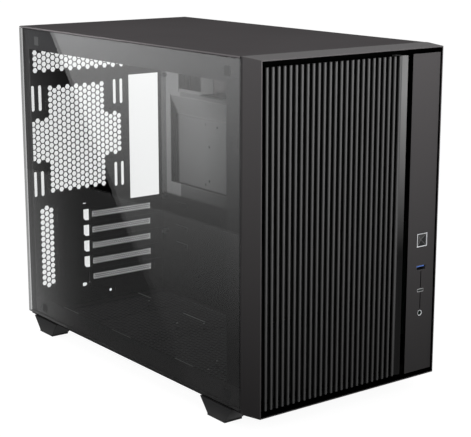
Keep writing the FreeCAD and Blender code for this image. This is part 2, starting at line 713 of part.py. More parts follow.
bulkhead = new_body("front_bulkhead")
face = new_sketch(bulkhead, "face", "XZ_Plane", "-Places.bulkhead")
rectangle(face, "-Places.side", "Places.under", "Places.side", "Places.chassis_top")
pad(bulkhead, face, "Sizes.gauge", reverse=True)
cuts = new_sketch(bulkhead, "cut_outs", "XZ_Plane", "-Places.bulkhead")
for half_width, low_formula in (("Sizes.fan_window / 2", "Places.rail_top + 14"),
                                ("Sizes.fan_window / 2", "Places.rail_top + 34 + Sizes.fan_window")):
    rectangle(cuts, f"-{half_width} - Sizes.fan_shift", low_formula,
              f"{half_width} - Sizes.fan_shift", f"{low_formula} + Sizes.fan_window")
for across in (-1, 1):
    for low_formula in ("Places.rail_top + 34", "Places.rail_top + 54 + Sizes.fan_window"):
        centre = f"{across} * (Sizes.fan_window / 2 + 7) - Sizes.fan_shift"
        rectangle(cuts, f"{centre} - Sizes.fan_slot_width / 2", low_formula,
                  f"{centre} + Sizes.fan_slot_width / 2", f"{low_formula} + Sizes.fan_window - 40")
pocket(bulkhead, cuts, "2 * Sizes.gauge")
clips = new_sketch(bulkhead, "clip_slots", "XZ_Plane", "-Places.bulkhead")
for across in (-1, 1):
    for level in ("Places.rim_base + Sizes.clip_inset", "Places.rim_top - Sizes.clip_inset"):
        middle = f"{across} * (Places.opening_half - Sizes.clip_inset / 2)"
        rectangle(clips, f"{middle} - Sizes.clip_width / 2 - Sizes.play",
                  f"{level} - Sizes.clip_height / 2 - Sizes.play",
                  f"{middle} + Sizes.clip_width / 2 + Sizes.play",
                  f"{level} + Sizes.clip_height / 2 + Sizes.play")
pocket(bulkhead, clips, "2 * Sizes.gauge")
posts = new_sketch(bulkhead, "posts", "XY_Plane", "Places.rail_top")
for left, right in (("-Places.side", "-Places.side + Sizes.gauge"),
                    ("Places.side - Sizes.gauge", "Places.side")):
    rectangle(posts, left, "Places.bulkhead", right, "Places.bulkhead + Sizes.post_depth")
pad(bulkhead, posts, "Places.rail_low - Places.rail_top")


# Power supply bracket: an angle behind the bulkhead, open for the supply's face

psu = new_body("power_supply_bracket")
shelf = new_sketch(psu, "shelf", "XY_Plane", "Places.rail_low - 24")
rectangle(shelf, "Places.tray_face - 170", "Places.inside_front",
          "Places.tray_face - Sizes.play", "Places.inside_front + 100")
rectangle(shelf, "Places.tray_face - 154", "Places.inside_front + 12",
          "Places.tray_face - 22", "Places.inside_front + 84")
pad(psu, shelf, "2 * Sizes.gauge")
leg = new_sketch(psu, "leg", "XZ_Plane", "-Places.inside_front")
rectangle(leg, "Places.tray_face - 170", "Places.rail_low - 24",
          "Places.tray_face - Sizes.play", "Places.rail_low - 4")
pad(psu, leg, "Sizes.gauge", reverse=True)


# Glass panel with its four ball studs, and the sockets that hold them

glass = new_body("left_glass")
pane = new_sketch(glass, "pane", "YZ_Plane", "-Places.half")
rectangle(pane, "Places.seam_line + Sizes.seam", "Places.glass_base", "Places.glass_rear", "Places.glass_top")
pad(glass, pane, "Sizes.glass_thick")

stud_x = -place("half") + size("glass_thick")
stud_y = [place("inside_front") + size("stud_inset"), rear_in - size("stud_inset") * 1.2]
stud_z = [(under + rail_top) / 2 + 2, (rail_low + chassis_top) / 2 - 2]
seats = [Vector(stud_x, y, z) for y in stud_y for z in stud_z]
STUD_RADIUS = 2.4
STUD_LENGTH = 7.0
base_thick = size("side_gap") - size("play")
BASE_HALF = 5.0
SOCKET_DEPTH = 6.0
STUD_HOLE_DEPTH = 8.0
studs = []
for seat in seats:
    foot = block(seat.x, seat.x + base_thick, seat.y - BASE_HALF, seat.y + BASE_HALF,
                 seat.z - BASE_HALF, seat.z + BASE_HALF)
    studs.append(foot.fuse(rod(STUD_RADIUS, STUD_LENGTH, seat, X_AXIS)))
group("glass_studs", studs)
sockets = []
for seat in seats:
    foot = Vector(-side + gauge, seat.y, seat.z)
    shell = block(foot.x, foot.x + SOCKET_DEPTH, foot.y - BASE_HALF, foot.y + BASE_HALF,
                  foot.z - BASE_HALF, foot.z + BASE_HALF)
    sockets.append(shell.cut(rod(STUD_RADIUS + size("play"), SOCKET_DEPTH, foot, X_AXIS)))
group("glass_sockets", sockets)


# Right side panel: a shallow pan with a rear tab for two thumbscrews

right = new_body("right_panel")
skin = new_sketch(right, "skin", "YZ_Plane", "Places.half")
rectangle(skin, "Places.seam_line + Sizes.seam", "Places.glass_base",
          "Places.rear_out + Sizes.gauge + Sizes.play", "Places.glass_top")
pad(right, skin, "Places.half - Places.side - Sizes.play", reverse=True)
hollow = new_sketch(right, "hollow", "YZ_Plane", "Places.side")
rectangle(hollow, "Places.seam_line + Sizes.seam + Sizes.gauge", "Places.glass_base + Sizes.gauge",
          "Places.rear_out + Sizes.play", "Places.glass_top - Sizes.gauge")
pocket(right, hollow, "Places.half - Places.side - Sizes.gauge", reverse=True)
tab = new_sketch(right, "tab", "XZ_Plane", "-(Places.rear_out + Sizes.play)")
rectangle(tab, "Places.side - 7", "Places.glass_base + 8",
          "Places.half - Sizes.gauge / 2", "Places.glass_top - 8")
pad(right, tab, "Sizes.gauge", reverse=True)

screw_x = side - 4.0
panel_seats = [Vector(screw_x, rear_out + size("play") + gauge, z)
               for z in (place("glass_base") + 76, place("glass_top") - 60)]
THUMB_RADIUS = 5.5
THUMB_HEAD = 5.5
THUMB_SHANK = 1.7
THUMB_LENGTH = 6.0
thumbscrews = [rod(THUMB_RADIUS, THUMB_HEAD, seat, Y_AXIS).fuse(rod(THUMB_SHANK, THUMB_LENGTH, seat, Y_AXIS * -1))
               for seat in panel_seats]
group("panel_thumbscrews", thumbscrews)


# Top cover: a shallow pan over the frame, open at the seam, with four tabs into the frame

cover = new_body("top_cover")
skin = new_sketch(cover, "skin", "XY_Plane", "Places.cover_top - Sizes.cover_skirt")
rectangle(skin, "-Places.half", "Places.seam_line + Sizes.seam", "Places.half", "Places.glass_rear")
pad(cover, skin, "Sizes.cover_skirt")
hollow = new_sketch(cover, "hollow", "XY_Plane", "Places.cover_top - Sizes.cover_skirt")
rectangle(hollow, "-Places.half + Sizes.cover_gauge", "Places.seam_line",
          "Places.half - Sizes.cover_gauge", "Places.glass_rear - Sizes.cover_gauge")
pocket(cover, hollow, "Sizes.cover_skirt - Sizes.cover_gauge", reverse=True)

TAB_HALF_LENGTH = 5.0
TAB_HALF_THICK = 1.2
TAB_DEPTH = 7.0
tab_top = place("cover_top") - size("cover_gauge")
tab_x = side - 16.0
tab_seats = [Vector(x, y, tab_top) for x in (-tab_x, tab_x) for y in stud_y]


def cover_tab(seat, room):
    """A flat tab under the cover, or its slot where room is given."""
    return block(seat.x - TAB_HALF_THICK - room, seat.x + TAB_HALF_THICK + room,
                 seat.y - TAB_HALF_LENGTH - room, seat.y + TAB_HALF_LENGTH + room,
                 seat.z - TAB_DEPTH - room, seat.z)


group("cover_tabs", [cover_tab(seat, 0.0) for seat in tab_seats])


# Front bezel: a drawn frame with a rolled rear edge, a carrier plate and four clips

bezel = new_body("front_bezel")
rim = new_sketch(bezel, "rim", "XZ_Plane", "-Places.front")
rectangle(rim, "-Places.rim_half", "Places.rim_base", "Places.rim_half", "Places.rim_top")
shoulder = new_sketch(bezel, "shoulder", "XZ_Plane", "-(Places.seam_line - Sizes.bezel_shoulder)")
rectangle(shoulder, "-Places.half", "Places.bezel_base", "Places.half", "Places.cover_top")
neck = new_sketch(bezel, "neck", "XZ_Plane", "-Places.seam_line")
rectangle(neck, "-Places.half + Sizes.shoulder_draw", "Places.bezel_base",
          "Places.half - Sizes.shoulder_draw", "Places.cover_top")
shell = bezel.newObject("PartDesign::AdditiveLoft", "front_bezel_shell")
shell.Profile = rim
shell.Sections = [shoulder, neck]
shell.Ruled = True
mouth = new_sketch(bezel, "mouth", "XZ_Plane", "-Places.front")
rectangle(mouth, "-Places.opening_half", "Places.opening_base", "Places.opening_half", "Places.opening_top")
pocket(bezel, mouth, "Sizes.bezel_depth")
carrier = new_sketch(bezel, "carrier", "XZ_Plane", "-Places.carrier")
rectangle(carrier, "-Places.opening_half - 0.5", "Places.opening_base - 0.5",
          "Places.opening_half + 0.5", "Places.opening_top + 0.5")
rectangle(carrier, "Places.rib_first + 8", "Places.rib_low + 8", "Places.rib_last - 8", "Places.rib_high - 8")
rectangle(carrier, "Places.port_line - 10", "Places.jack_line - 12", "Places.port_line + 10",
          "Sizes.button_height + 14")
pad(bezel, carrier, "Sizes.carrier_thick", reverse=True)
clips = new_sketch(bezel, "clips", "XZ_Plane", "-(Places.carrier + Sizes.carrier_thick)")
for across in (-1, 1):
    for level in ("Places.rim_base + Sizes.clip_inset", "Places.rim_top - Sizes.clip_inset"):
        middle = f"{across} * (Places.opening_half - Sizes.clip_inset / 2)"
        rectangle(clips, f"{middle} - Sizes.clip_width / 2", f"{level} - Sizes.clip_height / 2",
                  f"{middle} + Sizes.clip_width / 2", f"{level} + Sizes.clip_height / 2")
pad(bezel, clips, "Places.inside_front + 2 - Places.carrier - Sizes.carrier_thick", reverse=True)


# Front grille: ribs on a ladder, with a sloped bar at the port side

grille = new_body("front_grille")
ladder = new_sketch(grille, "ladder", "XZ_Plane", "-Places.ladder")
rectangle(ladder, "Places.rib_first", "Places.rib_low", "Places.rib_last + Sizes.end_bar", "Places.rib_high")
RUNGS = 2
for rung in range(RUNGS):
    low = f"Places.rib_low + Sizes.ladder_bar + {rung} * Places.rung_pitch"
    rectangle(ladder, "Places.rib_first + Sizes.rib_width", low,
              "Places.rib_last - Sizes.rib_width", f"{low} + Places.rung_pitch - Sizes.ladder_bar")
pad(grille, ladder, "Sizes.ladder_thick", reverse=True)
ribs = new_sketch(grille, "rib", "XY_Plane", "Places.rib_low")
nose_in = "(Sizes.rib_width - Sizes.rib_nose) / 2"
outline(ribs, [
    ("Places.rib_first", "Places.ladder + Sizes.ladder_thick / 2"),
    ("Places.rib_first", f"Places.rib_face + {nose_in}"),
    (f"Places.rib_first + {nose_in}", "Places.rib_face"),
    (f"Places.rib_first + Sizes.rib_width - {nose_in}", "Places.rib_face"),
    ("Places.rib_first + Sizes.rib_width", f"Places.rib_face + {nose_in}"),
    ("Places.rib_first + Sizes.rib_width", "Places.ladder + Sizes.ladder_thick / 2"),
])
rib = pad(grille, ribs, "Places.rib_high - Places.rib_low")
pattern = grille.newObject("PartDesign::LinearPattern", "front_grille_ribs")
pattern.Originals = [rib]
pattern.Direction = (ribs, ["H_Axis"])
pattern.setExpression("Length", "(Sizes.rib_count - 1) * Sizes.rib_pitch")
pattern.setExpression("Occurrences", "Sizes.rib_count")
grille.Tip = pattern
slope = new_sketch(grille, "slope", "XY_Plane", "Places.rib_low")
outline(slope, [
    ("Places.rib_last", "Places.ladder + Sizes.ladder_thick"),
    ("Places.rib_last", "Places.ladder"),
    ("Places.rib_last + Sizes.end_bar - 0.6", "Places.rib_face"),
    ("Places.rib_last + Sizes.end_bar", "Places.rib_face"),
    ("Places.rib_last + Sizes.end_bar", "Places.ladder + Sizes.ladder_thick"),
])
pad(grille, slope, "Places.rib_high - Places.rib_low")
stands = new_sketch(grille, "stands", "XZ_Plane", "-(Places.ladder + Sizes.ladder_thick)")
for left in ("Places.rib_first", "Places.rib_last"):
    for level in ("Places.rib_low", "Places.rib_high - Sizes.ladder_bar"):
        rectangle(stands, left, level, f"{left} + Sizes.ladder_bar", f"{level} + Sizes.ladder_bar")
pad(grille, stands, "Places.carrier - Places.ladder - Sizes.ladder_thick", reverse=True)

front_filter = new_body("front_filter")
sheet_mesh = new_sketch(front_filter, "mesh", "XZ_Plane", "-(Places.carrier - Sizes.filter_thick)")
rectangle(sheet_mesh, "Places.rib_first + Sizes.ladder_bar + 0.5", "Places.rib_low + Sizes.ladder_bar + 0.5",
          "Places.rib_last - 0.5", "Places.rib_high - Sizes.ladder_bar - 0.5")
pad(front_filter, sheet_mesh, "Sizes.filter_thick", reverse=True)


# Port strip: a plate with the openings for button, ports and jack, on two stands

strip = new_body("port_strip")
face = new_sketch(strip, "face", "XZ_Plane", "-Places.strip_face")
rectangle(face, "Places.strip_left", "Places.strip_low", "Places.strip_right", "Places.strip_high")
ring_half = "(Sizes.ring_side / 2 + 0.05)"
rectangle(face, f"Places.port_line - {ring_half}", f"Sizes.button_height - {ring_half}",
          f"Places.port_line + {ring_half}", f"Sizes.button_height + {ring_half}")
rectangle(face, "Places.port_line - Sizes.usb_width / 2", "Places.usb_line - Sizes.usb_height / 2",
          "Places.port_line + Sizes.usb_width / 2", "Places.usb_line + Sizes.usb_height / 2")
rectangle(face, "Places.port_line - Sizes.small_width / 2", "Places.small_line - Sizes.small_height / 2",
          "Places.port_line + Sizes.small_width / 2", "Places.small_line + Sizes.small_height / 2")
circle(face, "Places.port_line", "Places.jack_line", "Sizes.jack_ring_size / 2")
pad(strip, face, "Sizes.strip_thick", reverse=True)
lines = new_sketch(strip, "lines", "XZ_Plane", "-Places.strip_face")
rectangle(lines, "Places.port_line - Sizes.line_width / 2", "Places.small_line + Sizes.small_height / 2 + 1",
          "Places.port_line + Sizes.line_width / 2", "Places.usb_line - Sizes.usb_height / 2 - 1")
rectangle(lines, "Places.port_line - Sizes.line_width / 2", "Places.jack_line + Sizes.jack_ring_size / 2 + 1",
          "Places.port_line + Sizes.line_width / 2", "Places.small_line - Sizes.small_height / 2 - 1")
pocket(strip, lines, "Sizes.line_depth")
stands = new_sketch(strip, "stands", "XZ_Plane", "-Places.strip_back")
for level in ("Places.strip_low + 6", "Places.jack_line - 30", "Sizes.button_height + 20",
              "Places.strip_high - 12"):
    rectangle(stands, "Places.strip_left + 6", level, "Places.strip_right - 6", f"{level} + 6")
pad(strip, stands, "Places.carrier - Places.strip_back", reverse=True)

port_board = new_body("port_board")
board = new_sketch(port_board, "board", "XZ_Plane", "-Places.port_board")
rectangle(board, "Places.port_line - 13", "Places.jack_line - 24", "Places.port_line + 13",
          "Sizes.button_height + 20")
pad(port_board, board, "1.6", reverse=True)

ring = new_body("light_ring")
frame_sketch = new_sketch(ring, "frame", "XZ_Plane", "-(Places.strip_face - 0.3)")
for half_side in ("Sizes.ring_side / 2", "(Sizes.button_side / 2 + Sizes.play)"):
    rectangle(frame_sketch, f"Places.port_line - {half_side}", f"Sizes.button_height - {half_side}",
              f"Places.port_line + {half_side}", f"Sizes.button_height + {half_side}")
pad(ring, frame_sketch, "Places.port_board - Places.strip_face + 0.3", reverse=True)

cap = doc.addObject("Part::Box", "button_cap")
bind(cap, Length="Sizes.button_side", Width="Sizes.button_length", Height="Sizes.button_side")
put(cap, "Places.port_line - Sizes.button_side / 2", "Places.strip_face",
    "Sizes.button_height - Sizes.button_side / 2")
dish = doc.addObject("Part::Wedge", "button_dish")
wide = "(Sizes.button_side / 2 - 0.6)"
tip = "0.3"
bind(dish, Xmin=f"Places.port_line - {wide}", Xmax=f"Places.port_line + {wide}",
     Zmin=f"Sizes.button_height - {wide}", Zmax=f"Sizes.button_height + {wide}",
     X2min=f"Places.port_line - {tip}", X2max=f"Places.port_line + {tip}",
     Z2min=f"Sizes.button_height - {tip}", Z2max=f"Sizes.button_height + {tip}",
     Ymin="Places.strip_face", Ymax="Places.strip_face + Sizes.button_dish")
button = doc.addObject("Part::Cut", "power_button")
button.Base = cap
button.Tool = dish
NODES["power_button"] = button

switch = new_body("button_switch")
switch_face = "(Places.strip_face + Sizes.button_length + Sizes.button_travel + Sizes.play)"
case_sketch = new_sketch(switch, "case", "XZ_Plane", f"-({switch_face} + 1.0)")
rectangle(case_sketch, "Places.port_line - 3", "Sizes.button_height - 3",
          "Places.port_line + 3", "Sizes.button_height + 3")
pad(switch, case_sketch, f"Places.port_board - {switch_face} - 1.0", reverse=True)
plunger = new_sketch(switch, "plunger", "XZ_Plane", f"-{switch_face}")
circle(plunger, "Places.port_line", "Sizes.button_height", "1.7")
pad(switch, plunger, "1.1", reverse=True)


def port_shell(name, width, height, level, wall):
    """A port's metal shell: a hollow box from the strip face back to the board."""
    body = new_body(name)
    mouth = new_sketch(body, "mouth", "XZ_Plane", "-(Places.strip_face + 0.2)")
    for inset in ("0", wall):
        rectangle(mouth, f"Places.port_line - {width} / 2 + {inset}", f"{level} - {height} / 2 + {inset}",
                  f"Places.port_line + {width} / 2 - {inset}", f"{level} + {height} / 2 - {inset}")
    pad(body, mouth, "Places.port_board - Places.strip_face - 0.2", reverse=True)
    return body


def tongue(name, half_width, low, high):
    """The contact tongue inside a port, on the board."""
    body = new_body(name)
    blade = new_sketch(body, "blade", "XZ_Plane", "-(Places.strip_face + 1.2)")
    rectangle(blade, f"Places.port_line - {half_width}", low, f"Places.port_line + {half_width}", high)
    pad(body, blade, "Places.port_board - Places.strip_face - 1.2", reverse=True)
    return body


port_shell("wide_port_shell", "Sizes.usb_width", "Sizes.usb_height", "Places.usb_line", "Sizes.usb_wall")
tongue("wide_port_tongue", "5.5", "Places.usb_line + 0.3", "Places.usb_line + 2.0")
port_shell("small_port_shell", "Sizes.small_width", "Sizes.small_height",
           "Places.small_line", "Sizes.usb_wall")
tongue("small_port_tongue", "3.3", "Places.small_line - 0.35", "Places.small_line + 0.35")

jack = new_body("audio_jack")
barrel = new_sketch(jack, "barrel", "XZ_Plane", "-(Places.strip_face + 0.6)")
circle(barrel, "Places.port_line", "Places.jack_line", "Sizes.jack_ring_size / 2 - 0.4")
circle(barrel, "Places.port_line", "Places.jack_line", "Sizes.jack_bore / 2")
pad(jack, barrel, "Places.port_board - Places.strip_face - 0.6", reverse=True)
jack_ring = new_body("jack_ring")
collar = new_sketch(jack_ring, "collar", "XZ_Plane", "-Places.strip_face")
circle(collar, "Places.port_line", "Places.jack_line", "Sizes.jack_ring_size / 2 - 0.05")
circle(collar, "Places.port_line", "Places.jack_line", "Sizes.jack_ring_size / 2 - Sizes.jack_ring_wall")
pad(jack_ring, collar, "0.6", reverse=True)


# Feet: drawn in toward the ground, outer face nearly upright, each on a rubber pad

for side_name, sign in (("left", -1), ("right", 1)):
    for end_name, centre in (("front", "Sizes.foot_front"), ("rear", "Sizes.foot_rear")):
        foot = doc.addObject("Part::Wedge", f"foot_{end_name}_{side_name}")
        outer_top = f"{sign} * (Places.half - Sizes.foot_inset - 1.5)"
        outer_tip = f"{sign} * (Places.half - Sizes.foot_inset - Sizes.foot_draw)"
        inner_top = f"{outer_top} - {sign} * Sizes.foot_width"
        inner_tip = f"{outer_tip} - {sign} * Sizes.foot_tip_width"
        low_top, high_top = (outer_top, inner_top) if sign < 0 else (inner_top, outer_top)
        low_tip, high_tip = (outer_tip, inner_tip) if sign < 0 else (inner_tip, outer_tip)
        middle = f"Places.front + {centre}"
        bind(foot, Xmin=low_top, Xmax=high_top, X2min=low_tip, X2max=high_tip,
             Zmin=f"{middle} - Sizes.foot_length / 2", Zmax=f"{middle} + Sizes.foot_length / 2",
             Z2min=f"{middle} - Sizes.foot_tip_length / 2", Z2max=f"{middle} + Sizes.foot_tip_length / 2",
             Ymin="0", Ymax="Places.under - Sizes.pad_thick")
        foot.Placement = FreeCAD.Placement(Vector(0, 0, under), FreeCAD.Rotation(X_AXIS, -90))
        put(foot, "0", "0", "Places.under")
        NODES[foot.Name] = foot
        rubber = new_body(f"foot_pad_{end_name}_{side_name}")
        patch = new_sketch(rubber, "patch", "XY_Plane")
        rectangle(patch, outer_tip, f"{middle} - Sizes.foot_tip_length / 2",
                  inner_tip, f"{middle} + Sizes.foot_tip_length / 2")
        pad(rubber, patch, "Sizes.pad_thick")


# Bottom filter: a frame and its mesh, sliding rearward in two runners under the floor

filter_frame = new_body("bottom_filter_frame")
frame_face = new_sketch(filter_frame, "frame", "XY_Plane", "Places.filter_top - Sizes.tray_filter_thick")
rectangle(frame_face, "-Places.filter_half", "Places.filter_front", "Places.filter_half",
          "Places.filter_front + Sizes.tray_filter_length")
rectangle(frame_face, "-Places.filter_half + Sizes.tray_filter_border",
          "Places.filter_front + Sizes.tray_filter_border",
          "Places.filter_half - Sizes.tray_filter_border",
          "Places.filter_front + Sizes.tray_filter_length - Sizes.tray_filter_border")
pad(filter_frame, frame_face, "Sizes.tray_filter_thick")
filter_mesh = new_body("bottom_filter_mesh")
mesh_face = new_sketch(filter_mesh, "mesh", "XY_Plane", "Places.filter_top - Sizes.tray_filter_thick / 2")
rectangle(mesh_face, "-Places.filter_half + Sizes.tray_filter_border",
          "Places.filter_front + Sizes.tray_filter_border",
          "Places.filter_half - Sizes.tray_filter_border",
          "Places.filter_front + Sizes.tray_filter_length - Sizes.tray_filter_border")
pad(filter_mesh, mesh_face, "0.5")
RUNNER_WALL = 1.6
RUNNER_FLOOR = 1.2
for side_name, sign in (("left", -1), ("right", 1)):
    runner = new_body(f"filter_runner_{side_name}")
    profile = new_sketch(runner, "profile", "XZ_Plane", "-Places.filter_front")
    wall_in = f"{sign} * (Places.filter_half + Sizes.play)"
    wall_out = f"{sign} * (Places.filter_half + Sizes.play + {RUNNER_WALL})"
    lip_in = f"{sign} * (Places.filter_half - Sizes.runner_lip)"
    lip_top = "Places.filter_top - Sizes.tray_filter_thick - Sizes.play"
    outline(profile, [
        (wall_in, "Places.under"),
        (wall_in, lip_top),
        (lip_in, lip_top),
        (lip_in, f"{lip_top} - {RUNNER_FLOOR}"),
        (wall_out, f"{lip_top} - {RUNNER_FLOOR}"),
        (wall_out, "Places.under"),
    ])
    pad(runner, profile, "Sizes.tray_filter_length", reverse=True)


# Power inlet at the foot of the cable chamber, for the supply's inner lead

INLET_LIP = 2.5
INLET_PLAY = 0.2
INLET_WALL = 2.0
INLET_DEPTH = 16
inlet = new_body("power_inlet")
flange = new_sketch(inlet, "flange", "XZ_Plane", "-Places.rear_out")
inlet_mid = "(Places.tray_face + Sizes.tray_inset / 2)"
inlet_up = "(Places.under + Sizes.inlet_lift)"
rectangle(flange, f"{inlet_mid} - Sizes.inlet_width / 2 - 2", f"{inlet_up} - Sizes.inlet_height / 2 - 10",
          f"{inlet_mid} + Sizes.inlet_width / 2 + 2", f"{inlet_up} + Sizes.inlet_height / 2 + 10")
pad(inlet, flange, f"{INLET_LIP}", reverse=True)
well = new_sketch(inlet, "well", "XZ_Plane", "-Places.rear_out")
rectangle(well,
          f"{inlet_mid} - Sizes.inlet_width / 2 + {INLET_PLAY}",
          f"{inlet_up} - Sizes.inlet_height / 2 + {INLET_PLAY}",
          f"{inlet_mid} + Sizes.inlet_width / 2 - {INLET_PLAY}",
          f"{inlet_up} + Sizes.inlet_height / 2 - {INLET_PLAY}")
pad(inlet, well, f"{INLET_DEPTH}")
cavity = new_sketch(inlet, "cavity", "XZ_Plane", f"-(Places.rear_out + {INLET_LIP})")
inset = f"({INLET_PLAY} + {INLET_WALL})"
rectangle(cavity, f"{inlet_mid} - Sizes.inlet_width / 2 + {inset}", f"{inlet_up} - Sizes.inlet_height / 2 + {inset}",
          f"{inlet_mid} + Sizes.inlet_width / 2 - {inset}", f"{inlet_up} + Sizes.inlet_height / 2 - {inset}")
pocket(inlet, cavity, f"{INLET_DEPTH} - {INLET_WALL} + {INLET_LIP}", reverse=True)

inlet_floor = rear_out - (INLET_DEPTH - INLET_WALL)
pins = [block(inlet_x + across - 1, inlet_x + across + 1, inlet_floor, rear_out + 1,
              inlet_z + up - 2, inlet_z + up + 2) for across, up in ((0, 0), (3, -7), (3, 7))]
group("inlet_pins", pins)
EAR_FLATS = 5.5
EAR_HEAD = 1.6
EAR_RADIUS = 1.4
EAR_LENGTH = 5.0
ears = [Vector(inlet_x, rear_out + INLET_LIP, inlet_z + up * (size("inlet_height") / 2 + 6)) for up in (-1, 1)]
ear_screws = [hexagon_screw(EAR_FLATS, EAR_HEAD, EAR_RADIUS, EAR_LENGTH, seat, Y_AXIS) for seat in ears]
group("inlet_screws", ear_screws)

# Holes that the screws, studs and tabs pass through
inlet_shanks = [rod(EAR_RADIUS, EAR_LENGTH, seat, Y_AXIS * -1) for seat in ears]
panel_shanks = [rod(THUMB_SHANK, THUMB_LENGTH, seat, Y_AXIS * -1) for seat in panel_seats]
stud_holes = [rod(STUD_RADIUS + size("play"), STUD_HOLE_DEPTH, seat, X_AXIS) for seat in seats]
tab_slots = [cover_tab(seat, size("play")) for seat in tab_seats]

# Floor rivets, bright heads in the floor pan's cross bars
RIVET_RADIUS = 2.2
RIVET_HEIGHT = 0.9
rivets = []
for across, along in ((-10.7, 297.1), (13.6, 276.2), (-53.2, 157.8), (-77.8, 141.2), (13.0, 395.0)):
    rivets.append(rod(RIVET_RADIUS, RIVET_HEIGHT, Vector(across, place("front") + along, place("floor_face")), Z_AXIS))
group("floor_rivets", rivets)

doc.recompute()
SHAPES = {name: node.Shape for name, node in NODES.items()}
SHAPES["rear_panel"] = SHAPES["rear_panel"].cut(inlet_shanks + panel_shanks)
SHAPES["power_inlet"] = SHAPES["power_inlet"].cut(inlet_shanks)
SHAPES["right_panel"] = SHAPES["right_panel"].cut(panel_shanks)
SHAPES["floor_pan"] = SHAPES["floor_pan"].cut(stud_holes)
SHAPES["top_frame"] = SHAPES["top_frame"].cut(stud_holes + tab_slots)

for item in doc.Objects:
    if "Invalid" in item.State or "Error" in item.State:
        raise RuntimeError(f"{item.Name} failed: {item.State}")
    if item.TypeId == "PartDesign::Pocket" and item.Shape.Volume >= item.BaseFeature.Shape.Volume - 1e-3:
        raise RuntimeError(f"{item.Name} cuts nothing")

os.makedirs("parts", exist_ok=True)
for name, shape in SHAPES.items():
    if shape.isNull() or not shape.isValid() or not shape.Solids:
        raise RuntimeError(f"{name} has no valid solid")
    shape.exportStep(f"parts/{name}.step")
    print(f"{name}: {len(shape.Solids)} solid(s), {shape.Volume / 1000:.2f} cm3")
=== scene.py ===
import json
import math

import bmesh
import bpy
import numpy as np
from bpy.props import FloatProperty, FloatVectorProperty, IntProperty, PointerProperty
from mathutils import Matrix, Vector


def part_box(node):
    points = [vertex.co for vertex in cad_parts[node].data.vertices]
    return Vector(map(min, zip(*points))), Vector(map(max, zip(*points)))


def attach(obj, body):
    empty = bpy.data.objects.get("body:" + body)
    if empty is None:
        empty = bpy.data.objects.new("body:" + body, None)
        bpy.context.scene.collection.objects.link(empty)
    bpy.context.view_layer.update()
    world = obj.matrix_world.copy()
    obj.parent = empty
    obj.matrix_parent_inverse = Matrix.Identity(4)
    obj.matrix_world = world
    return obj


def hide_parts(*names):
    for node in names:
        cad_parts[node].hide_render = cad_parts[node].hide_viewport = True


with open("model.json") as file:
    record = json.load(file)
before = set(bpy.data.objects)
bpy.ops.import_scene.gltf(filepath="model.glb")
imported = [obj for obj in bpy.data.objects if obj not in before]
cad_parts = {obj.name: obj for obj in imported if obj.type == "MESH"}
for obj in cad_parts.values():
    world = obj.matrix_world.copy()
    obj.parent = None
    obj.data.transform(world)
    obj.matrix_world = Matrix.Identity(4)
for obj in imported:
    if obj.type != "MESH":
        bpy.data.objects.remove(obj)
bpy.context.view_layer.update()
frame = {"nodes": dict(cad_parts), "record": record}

bl_info = {
    "name": "Micro ATX case dresser",
    "version": (1, 0, 0),
    "blender": (4, 5, 0),
    "location": "3D View > Sidebar > Case",
    "description": "Finishes, perforated sheets, soft edges and studio for an upright computer case",
    "category": "Object",
}

NODES = frame["nodes"]
SLOTS = {part["node"]: part["material_slot"] for part in frame["record"]["subparts"]}
COVERS = [f"slot_cover_{number}" for number in range(1, 6)]

# Noise scales, places in metres and a colour that several finishes share

POWDER_GRAIN = 2600.0
SATIN_GRAIN = 3400.0
TEXTURE_GRAIN = 2800.0
PATCHES = 9.0
# Heights where the painted shade toward the floor starts and ends
FADE_FOOT = 0.02
FADE_TOP = 0.36
PORT_LINE = 0.0968
WHITE = (1.0, 1.0, 1.0)


# Sizes and colours

class CaseColours(bpy.types.PropertyGroup):
    """Colours of the case's finishes."""
    steel: FloatVectorProperty(name="Powder coat", description="Black coat of the sheet steel",
                               subtype="COLOR", size=3, default=(0.0775, 0.0725, 0.0745))
    # The inner coat is a darker copy of the outer coat: painted shade for the inside of the case
    tray: FloatVectorProperty(name="Inner coat", description="Coat of the steel inside the case",
                              subtype="COLOR", size=3, default=(0.045, 0.044, 0.046))
    # A bright grey for black steel: painted light and sheen on the drive bracket and the tray's lit post
    bracket: FloatVectorProperty(name="Bracket coat", description="Smoother coat of the drive bracket",
                                 subtype="COLOR", size=3, default=(0.230, 0.228, 0.230))
    # Raised above black as painted light, so the studs and sockets match the lit inside seen round them
    fittings: FloatVectorProperty(name="Fittings", description="Dull coat of the glass's studs and sockets",
                                  subtype="COLOR", size=3, default=(0.105, 0.105, 0.106))
    seams: FloatVectorProperty(name="Seams", description="Pale seams and beads on the floor sheet",
                               subtype="COLOR", size=3, default=(0.14, 0.14, 0.14))
    plastic: FloatVectorProperty(name="Moulding", description="Satin black plastic of bezel and strip",
                                 subtype="COLOR", size=3, default=(0.0762, 0.0720, 0.0735))
    # The ribs' grey is a painted sheen on black plastic, and the bar's paler grey carries a painted
    # reflection
    ribs: FloatVectorProperty(name="Ribs", description="Satin faces of the grille's ribs",
                              subtype="COLOR", size=3, default=(0.170, 0.169, 0.170))
    bar: FloatVectorProperty(name="Bar", description="Glossier bar beside the last rib",
                             subtype="COLOR", size=3, default=(0.250, 0.248, 0.248))
    small: FloatVectorProperty(name="Small mouldings", description="Textured plastic of the small pieces",
                               subtype="COLOR", size=3, default=(0.034, 0.034, 0.035))
    foot: FloatVectorProperty(name="Feet", description="Textured plastic of the feet",
                              subtype="COLOR", size=3, default=(0.025, 0.025, 0.0255))
    glass: FloatVectorProperty(name="Glass", description="What the glass lets through",
                               subtype="COLOR", size=3, default=(0.95, 0.955, 0.955))
    light: FloatVectorProperty(name="Light ring", description="White ring round the button",
                               subtype="COLOR", size=3, default=(0.92, 0.93, 0.95))


